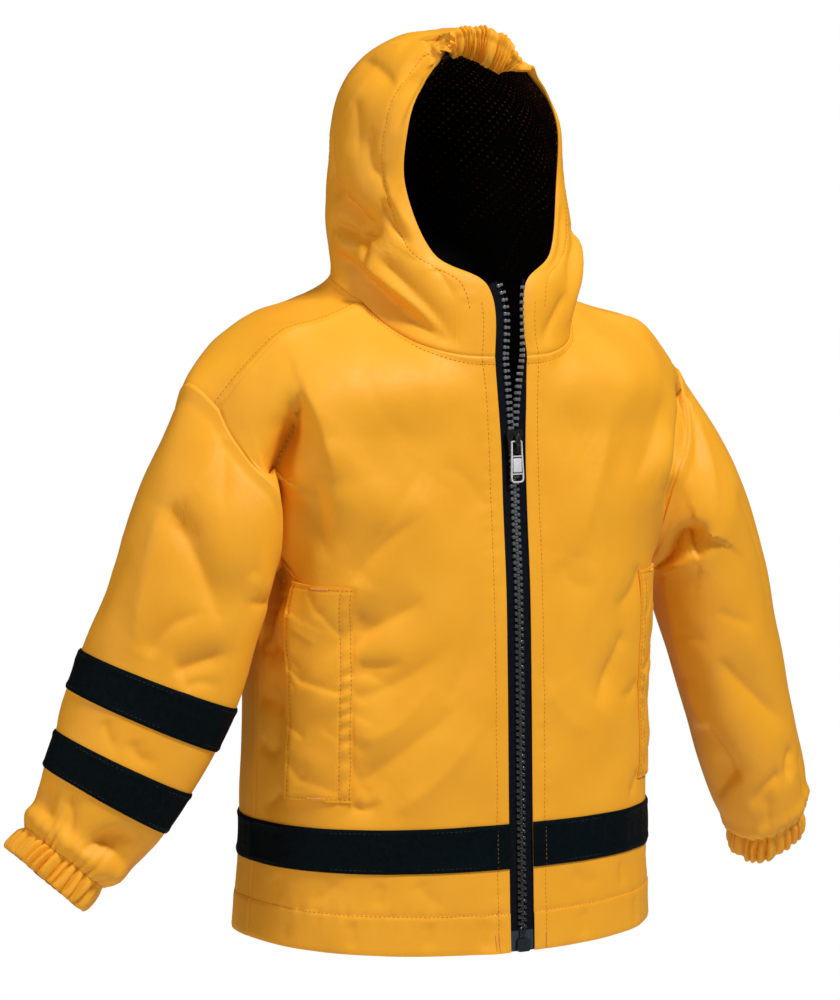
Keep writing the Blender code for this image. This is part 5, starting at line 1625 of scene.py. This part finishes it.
def dress_casing(hood):
    """The gathered brow casing: it goes on from the hood, ruffles, and turns in at the face."""
    shares = np.linspace(-1, 1, CASING_GATHERS * GATHER_STEPS * 2 + 1)
    steps = np.linspace(0, 1, 19)
    grid = hood_form(CASING_LEVEL + (HOOD_TOP_LEVEL - CASING_LEVEL) * steps, shares)
    from_end = 1 - np.abs(shares)
    rolled = CASING_TURN * steps ** 1.2 - CASING_ROLL * np.sin(math.pi * steps)
    grid[:, :, 1] += rolled[:, None] * np.clip((from_end + 0.02) / 0.35, 0, 1)[None, :]
    normal = normals(grid, HOOD_CENTRE)
    edge, _ = hood.patch([CASING_LEVEL], shares)
    knots = (0, 0.12, 0.34, 0.50, 0.72, 0.88, 1.0)
    swell = np.interp(steps, knots, (0.7, 1.25, 1.5, 0.8, 1.3, 1.5, 1.0))
    base = np.interp(steps, knots, (0.0, 0.3, 0.6, -0.5, 0.1, 0.2, -0.4))
    droop = CASING_DROOP * np.exp(-((shares - 0.50) / 0.50) ** 2)
    full = np.clip(from_end / 0.40, 0.12, 1) ** 1.2
    rows = []
    for index, step in enumerate(steps):
        lift = (base[index] + 3.0 * swell[index] * (casing_wave(shares, step) - 0.4)) * full
        free = grid[index] + normal[index] * lift[:, None]
        free[:, 2] -= droop * step ** 1.3
        held = edge[0] + (grid[index] - grid[0])
        near = max(1 - step * 6, 0)
        rows.append(free * (1 - near) + held * near)
    outer = np.array(rows)
    cloth_piece("hood_casing_cloth", "left", outer, outer - normal * CASING_WALL, "coated_cloth",
                (shares * 100, steps * 16), "hood_casing")


# ---------------------------------------------------------------- zip
def zip_line(side):
    """The zip edge from low to high, with the directions across, out and along at each point.

    The tapes under the fronts lie flat; the teeth turn out where the zip is open: turned says how.
    """
    front = front_form(np.linspace(HEM_LEVEL + 0.8, TOP_LEVEL, 150), (0.0, 0.1))[:, 0]
    hood = hood_form(np.linspace(2, ZIP_TOP_LEVEL, 18), (0.9, 1.0))[:, 1]
    edge = np.vstack([front, hood])
    along = unit(np.gradient(edge, axis=0))
    out = unit(np.cross(along, (1, 0, 0)))
    out *= -np.sign(out[:, 1:2])
    across = np.cross(out, along)
    across *= np.sign(across[:, :1])
    turn = np.radians(ZIP_FLARE[side]) * fade(np.maximum(edge[:, 2] - SLIDER_LEVEL, 0), FLARE_OVER)
    turn = turn[:, None]
    turned = (across * np.cos(turn) - out * np.sin(turn), out * np.cos(turn) + across * np.sin(turn))
    return edge, (across, out), turned, along


def layered(outlines, heights):
    """Points (across, along, out) and faces of a closed form: outlines at rising heights."""
    count = len(outlines[0])
    points = [(x, z, height) for outline, height in zip(outlines, heights) for x, z in outline]
    faces = [(row * count + k, row * count + (k + 1) % count, (row + 1) * count + (k + 1) % count,
              (row + 1) * count + k) for row in range(len(heights) - 1) for k in range(count)]
    faces.append(tuple(reversed(range(count))))
    faces.append(tuple((len(heights) - 1) * count + k for k in range(count)))
    return points, faces


def joined(parts):
    """Points and faces of several forms as one, each given with its place and three directions."""
    points, faces = [], []
    for (part_points, part_faces), place, directions in parts:
        base = len(points)
        points.extend(np.asarray(place) + np.asarray(part_points) @ np.asarray(directions))
        faces += [tuple(base + index for index in face) for face in part_faces]
    return points, faces


# Half of a tooth's outline, from its root to its head, across and along the zip.
TOOTH_OUTLINE = (
    (-1.15, 0.00), (-1.00, 0.62), (-0.45, 0.98), (0.20, 0.88), (0.62, 0.52), (1.05, 0.50), (1.35, 0.92),
    (2.00, 1.15), (2.75, 1.05), (3.05, 0.60),
)
TOOTH_LAYERS = ((-2.2, 0.86), (-1.9, 1.0), (0.05, 1.0), (0.35, 0.88), (0.5, 0.62))


def make_teeth(side):
    """The teeth of one tape, apart from those inside the slider."""
    edge, _, (across, out), along = zip_line(side)
    total = lengths_along(edge)
    slider = np.interp(SLIDER_LEVEL, edge[:, 2], total)
    first = PIN_TOP + 1.4 + (0 if side == "left" else TOOTH_PITCH / 2)
    outline = np.array(TOOTH_OUTLINE + tuple((x, -z) for x, z in TOOTH_OUTLINE[:0:-1]))
    middle = outline.mean(axis=0)
    tooth = layered([middle - (TOOTH_REACH, 0) + (outline - middle) * scale for _, scale in TOOTH_LAYERS],
                    [height for height, _ in TOOTH_LAYERS])
    parts = [(tooth, between(at, total, edge), [between(at, total, grid) for grid in (across, along, out)])
             for at in np.arange(first, total[-1] - 1.5, TOOTH_PITCH) if abs(at - slider) > SLIDER_HALF]
    points, faces = joined(parts)
    if side == "right":
        points = on_side(side, np.array(points))
        faces = [face[::-1] for face in faces]
    made = mesh_object("zip_teeth_" + side, points, faces, MATERIALS["teeth"], angle=35)
    dress(made, ())


# The cut through a zip tape: place across from the edge, its face and its back.
TAPE_CUT = (
    (TAPE_UNDER, -2.15, -2.65), (4.0, -1.95, -2.45), (0.8, -1.75, -2.25), (-1.2, -1.35, -1.9),
    (-3.4, -1.2, -1.8), (-5.0, -1.2, -1.8), (-5.6, -1.15, -1.8), (-6.0, -0.8, -1.95),
    (-6.6, -0.6, -2.05), (-7.2, -0.75, -2.0), (-7.7, -1.1, -1.8), (-8.2, -1.5, -1.6),
)


def make_tape(side):
    """A zip tape with the bead that carries its teeth."""
    edge, flat, turned, along = zip_line(side)
    edge[0] -= along[0] * 0.5
    wave = 0.10 * np.sin(lengths_along(edge) / 9.0 + TAPE_WAVE_PHASE[side])[:, None]
    places, *walls = zip(*TAPE_CUT)
    frames = [turned if place < 0 else flat for place in places]
    outer, inner = (
        np.stack([edge + across * place + out * (height + wave)
                  for place, height, (across, out) in zip(places, heights, frames)], 1)
        for heights in walls)
    cloth_piece("zip_tape_%s_woven" % side, side, outer, inner, "zip_tape", (places, lengths_along(edge)),
                "zip_tape_" + side)


def cut_rectangle(half_width, low, high, corner, inset=0.0):
    """Outline of a rectangle with its corners cut off."""
    wide, base, top = half_width - inset, low + inset, high - inset
    return [(-wide + corner, base), (wide - corner, base), (wide, base + corner), (wide, top - corner),
            (wide - corner, top), (-wide + corner, top), (-wide, top - corner), (-wide, base + corner)]


def slab(half_width, low, high, corner, back, face):
    """A plate with rounded upper edges."""
    steps = ((back, 0.0), (face - 0.25, 0.0), (face - 0.075, 0.075), (face, 0.25))
    return layered([cut_rectangle(half_width, low, high, corner, inset) for _, inset in steps],
                   [height for height, _ in steps])


def ring_bar(path, half_width, back, face):
    """A bar with rounded edges all along a closed path."""
    path = np.asarray(path, float)
    ahead = unit(np.roll(path, -1, axis=0) - np.roll(path, 1, axis=0))
    beside = np.stack([ahead[:, 1], -ahead[:, 0]], 1)
    section = cut_rectangle(half_width, back, face, 0.35 * half_width)
    points = [(*(spot + out * across), height) for spot, out in zip(path, beside)
              for across, height in section]
    sides, count = len(section), len(path)
    faces = [(k * sides + j, k * sides + (j + 1) % sides, (k + 1) % count * sides + (j + 1) % sides,
              (k + 1) % count * sides + j) for k in range(count) for j in range(sides)]
    return points, faces


def small_part(name, forms, place, along, out, made_of, slot, body, nodes=()):
    """One piece from closed forms that share a place and directions."""
    points, faces = joined([(form, place, ((1, 0, 0), along, out)) for form in forms])
    dress(mesh_object(name, points, faces, MATERIALS[made_of], angle=35), nodes, body)


PULL_ALONG, PULL_OUT = np.array((0, 0.0556, 0.9984)), np.array((0, -0.9984, 0.0556))
# Half of the pull's frame, from its foot up to the hinge.
PULL_FRAME = (
    (1.4, -24.62), (2.9, -24.45), (3.75, -23.8), (4.12, -22.6), (4.1, -20.0), (3.85, -14.0), (3.62, -8.0),
    (3.5, -4.0), (3.45, 0.15), (2.6, 0.25),
)
# Plates of the pull: half width, low and high end, cut of its corners, back and face.
PULL_PLATES = ((3.5, -9.3, -8.5, 0.2, -0.4, 0.55), (3.0, -18.7, -10.1, 0.5, -0.5, 0.62),
               (3.6, -20.2, -19.4, 0.2, -0.4, 0.45))
PULL_WEB = (3.7, -19.7, -8.9, 0.2, -0.35, 0.25)
CROWN_LAYERS = ((1.5, 1.0), (2.2, 0.99), (2.5, 0.94), (2.72, 0.84), (2.88, 0.68), (2.97, 0.45), (3.0, 0.18))


def make_pull():
    """The cast pull: a bright frame and crossbars round a raised plate, on a grey web."""
    hinge = (PULL_HINGE, PULL_ALONG, PULL_OUT)
    frame_path = PULL_FRAME + ((0.0, 0.25),) + tuple((-x, z) for x, z in PULL_FRAME[::-1])
    bright = [ring_bar(frame_path, 0.42, -0.62, 0.62)] + [slab(*plate) for plate in PULL_PLATES]
    small_part("zip_pull_cast", bright, *hinge, "bright_metal", "bright_metal", "pull", ["zip_pull"])
    small_part("zip_pull_web", [slab(*PULL_WEB)], *hinge, "grey_metal", "bright_metal", "pull")
    around = np.linspace(0, 2 * math.pi, 25)[:-1]
    dome = [np.stack([1.5 * size * np.sin(around), 1.2 + 3.9 * size * np.cos(around)], 1)
            for _, size in CROWN_LAYERS]
    crown = layered(dome, [height for height, _ in CROWN_LAYERS])
    small_part("zip_slider_crown", [crown], *hinge, "dark_metal", "dark_metal", "garment")


def make_pins():
    """The two pins of the retainer, side by side above its box."""
    edge, (_, out), _, along = zip_line("left")
    total = lengths_along(edge)
    base = between(PIN_FOOT, total, edge) * (0, 1, 1)
    upright, outwards = (between(PIN_FOOT + 2.0, total, grid) for grid in (along, out))
    for side, middle in (("right", -1.3), ("left", 1.3)):
        pin = slab(1.15, 0.0, PIN_TOP - PIN_FOOT, 0.3, -2.0, 0.3)
        small_part("zip_pin_" + side, [pin], base + (middle, 0, 0), upright, outwards, "box",
                   "moulded_teeth", "garment")


def finish_hardware():
    """Carried-over hard nodes: finer materials, and edges rounded as cast parts are."""
    for node, made_of, width in (("zip_slider", "dark_metal", 0.35), ("zip_box", "box", 0.5)):
        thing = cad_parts[node]
        for slot in thing.material_slots:
            slot.material = MATERIALS[made_of]
        bevel = thing.modifiers.new("rounded", "BEVEL")
        bevel.width = width * MM
        bevel.segments = 2
        bevel.limit_method = "ANGLE"


for side in ("right", "left"):
    dress_front(side)
dress_back()
for side in ("right", "left"):
    dress_sleeve(side)
    make_tape(side)
    make_teeth(side)
dress_hood()
make_pull()
make_pins()
finish_hardware()
threads.make("stitches_yellow", "thread")
light_threads.make("stitches_light", "thread_light")
tan_threads.make("stitches_tan", "thread_tan")
navy_threads.make("stitches_navy", "thread_navy")


# ---------------------------------------------------------------- studio
def place_in_scene(name, data, place=(0, 0, 0), target=None):
    """Links an object, looking at a target where it has one."""
    made = bpy.data.objects.new(name, data)
    bpy.context.scene.collection.objects.link(made)
    made.location = place
    if target is not None:
        towards = Vector(target) - Vector(place)
        made.rotation_euler = towards.to_track_quat("-Z", "Y").to_euler()
    return made


def make_floor():
    """A pale round floor, well below the garment."""
    mesh = bpy.data.meshes.new("studio_floor")
    turns = [2 * math.pi * step / 96 for step in range(96)]
    mesh.from_pydata([(FLOOR_REACH * math.cos(turn), FLOOR_REACH * math.sin(turn), FLOOR_LEVEL)
                      for turn in turns], [], [tuple(range(96))])
    nodes = Nodes("floor_pale")
    pale = ((0.3, (0.93, 0.93, 0.93)), (0.7, (0.95, 0.95, 0.95)))
    nodes.set("Base Color", nodes.ramp(nodes.noise(3.0), pale))
    nodes.set("Roughness", 0.9)
    nodes.set("Specular IOR Level", 0.1)
    mesh.materials.append(nodes.material)
    place_in_scene("studio_floor", mesh)


def area_light(name, place, target, size, power, colour=(1, 1, 1)):
    """A rectangular light that shines at its target."""
    light = bpy.data.lights.new(name, "AREA")
    light.shape = "RECTANGLE"
    light.size, light.size_y = size
    light.energy = power
    light.color = colour
    place_in_scene(name, light, place, target)


def make_world():
    """A dim warm surround that the camera itself sees as white."""
    world = bpy.data.worlds.new("studio")
    world.use_nodes = True
    tree = world.node_tree
    background = tree.nodes["Background"]
    background.inputs["Color"].default_value = (1.0, 0.74, 0.45, 1)
    background.inputs["Strength"].default_value = 0.11
    white = tree.nodes.new("ShaderNodeBackground")
    white.inputs["Color"].default_value = (1, 1, 1, 1)
    white.inputs["Strength"].default_value = 1.0
    mix = tree.nodes.new("ShaderNodeMixShader")
    path = tree.nodes.new("ShaderNodeLightPath")
    tree.links.new(path.outputs["Is Camera Ray"], mix.inputs["Fac"])
    tree.links.new(background.outputs["Background"], mix.inputs[1])
    tree.links.new(white.outputs["Background"], mix.inputs[2])
    tree.links.new(mix.outputs["Shader"], tree.nodes["World Output"].inputs["Surface"])
    bpy.context.scene.world = world


def make_studio():
    """Surround, three lights and the camera."""
    scene = bpy.context.scene
    scene.view_settings.view_transform = "Standard"
    make_world()
    middle = (0, 0, -0.1)
    area_light("key", (0.45, -1.72, 2.25), middle, (0.5, 0.5), 88)
    area_light("fill", (-2.0, -1.9, 0.7), middle, (1.0, 1.2), 9, (1.0, 0.90, 0.74))
    area_light("side", (-2.4, 0.3, 0.8), (-0.15, 0, -0.1), (0.8, 1.6), 20, (1.0, 0.96, 0.90))
    camera = bpy.data.cameras.new("camera")
    camera.lens = CAMERA_LENS
    camera.sensor_width = 36
    scene.camera = place_in_scene("camera", camera, CAMERA_PLACE, CAMERA_TARGET)


make_floor()
make_studio()
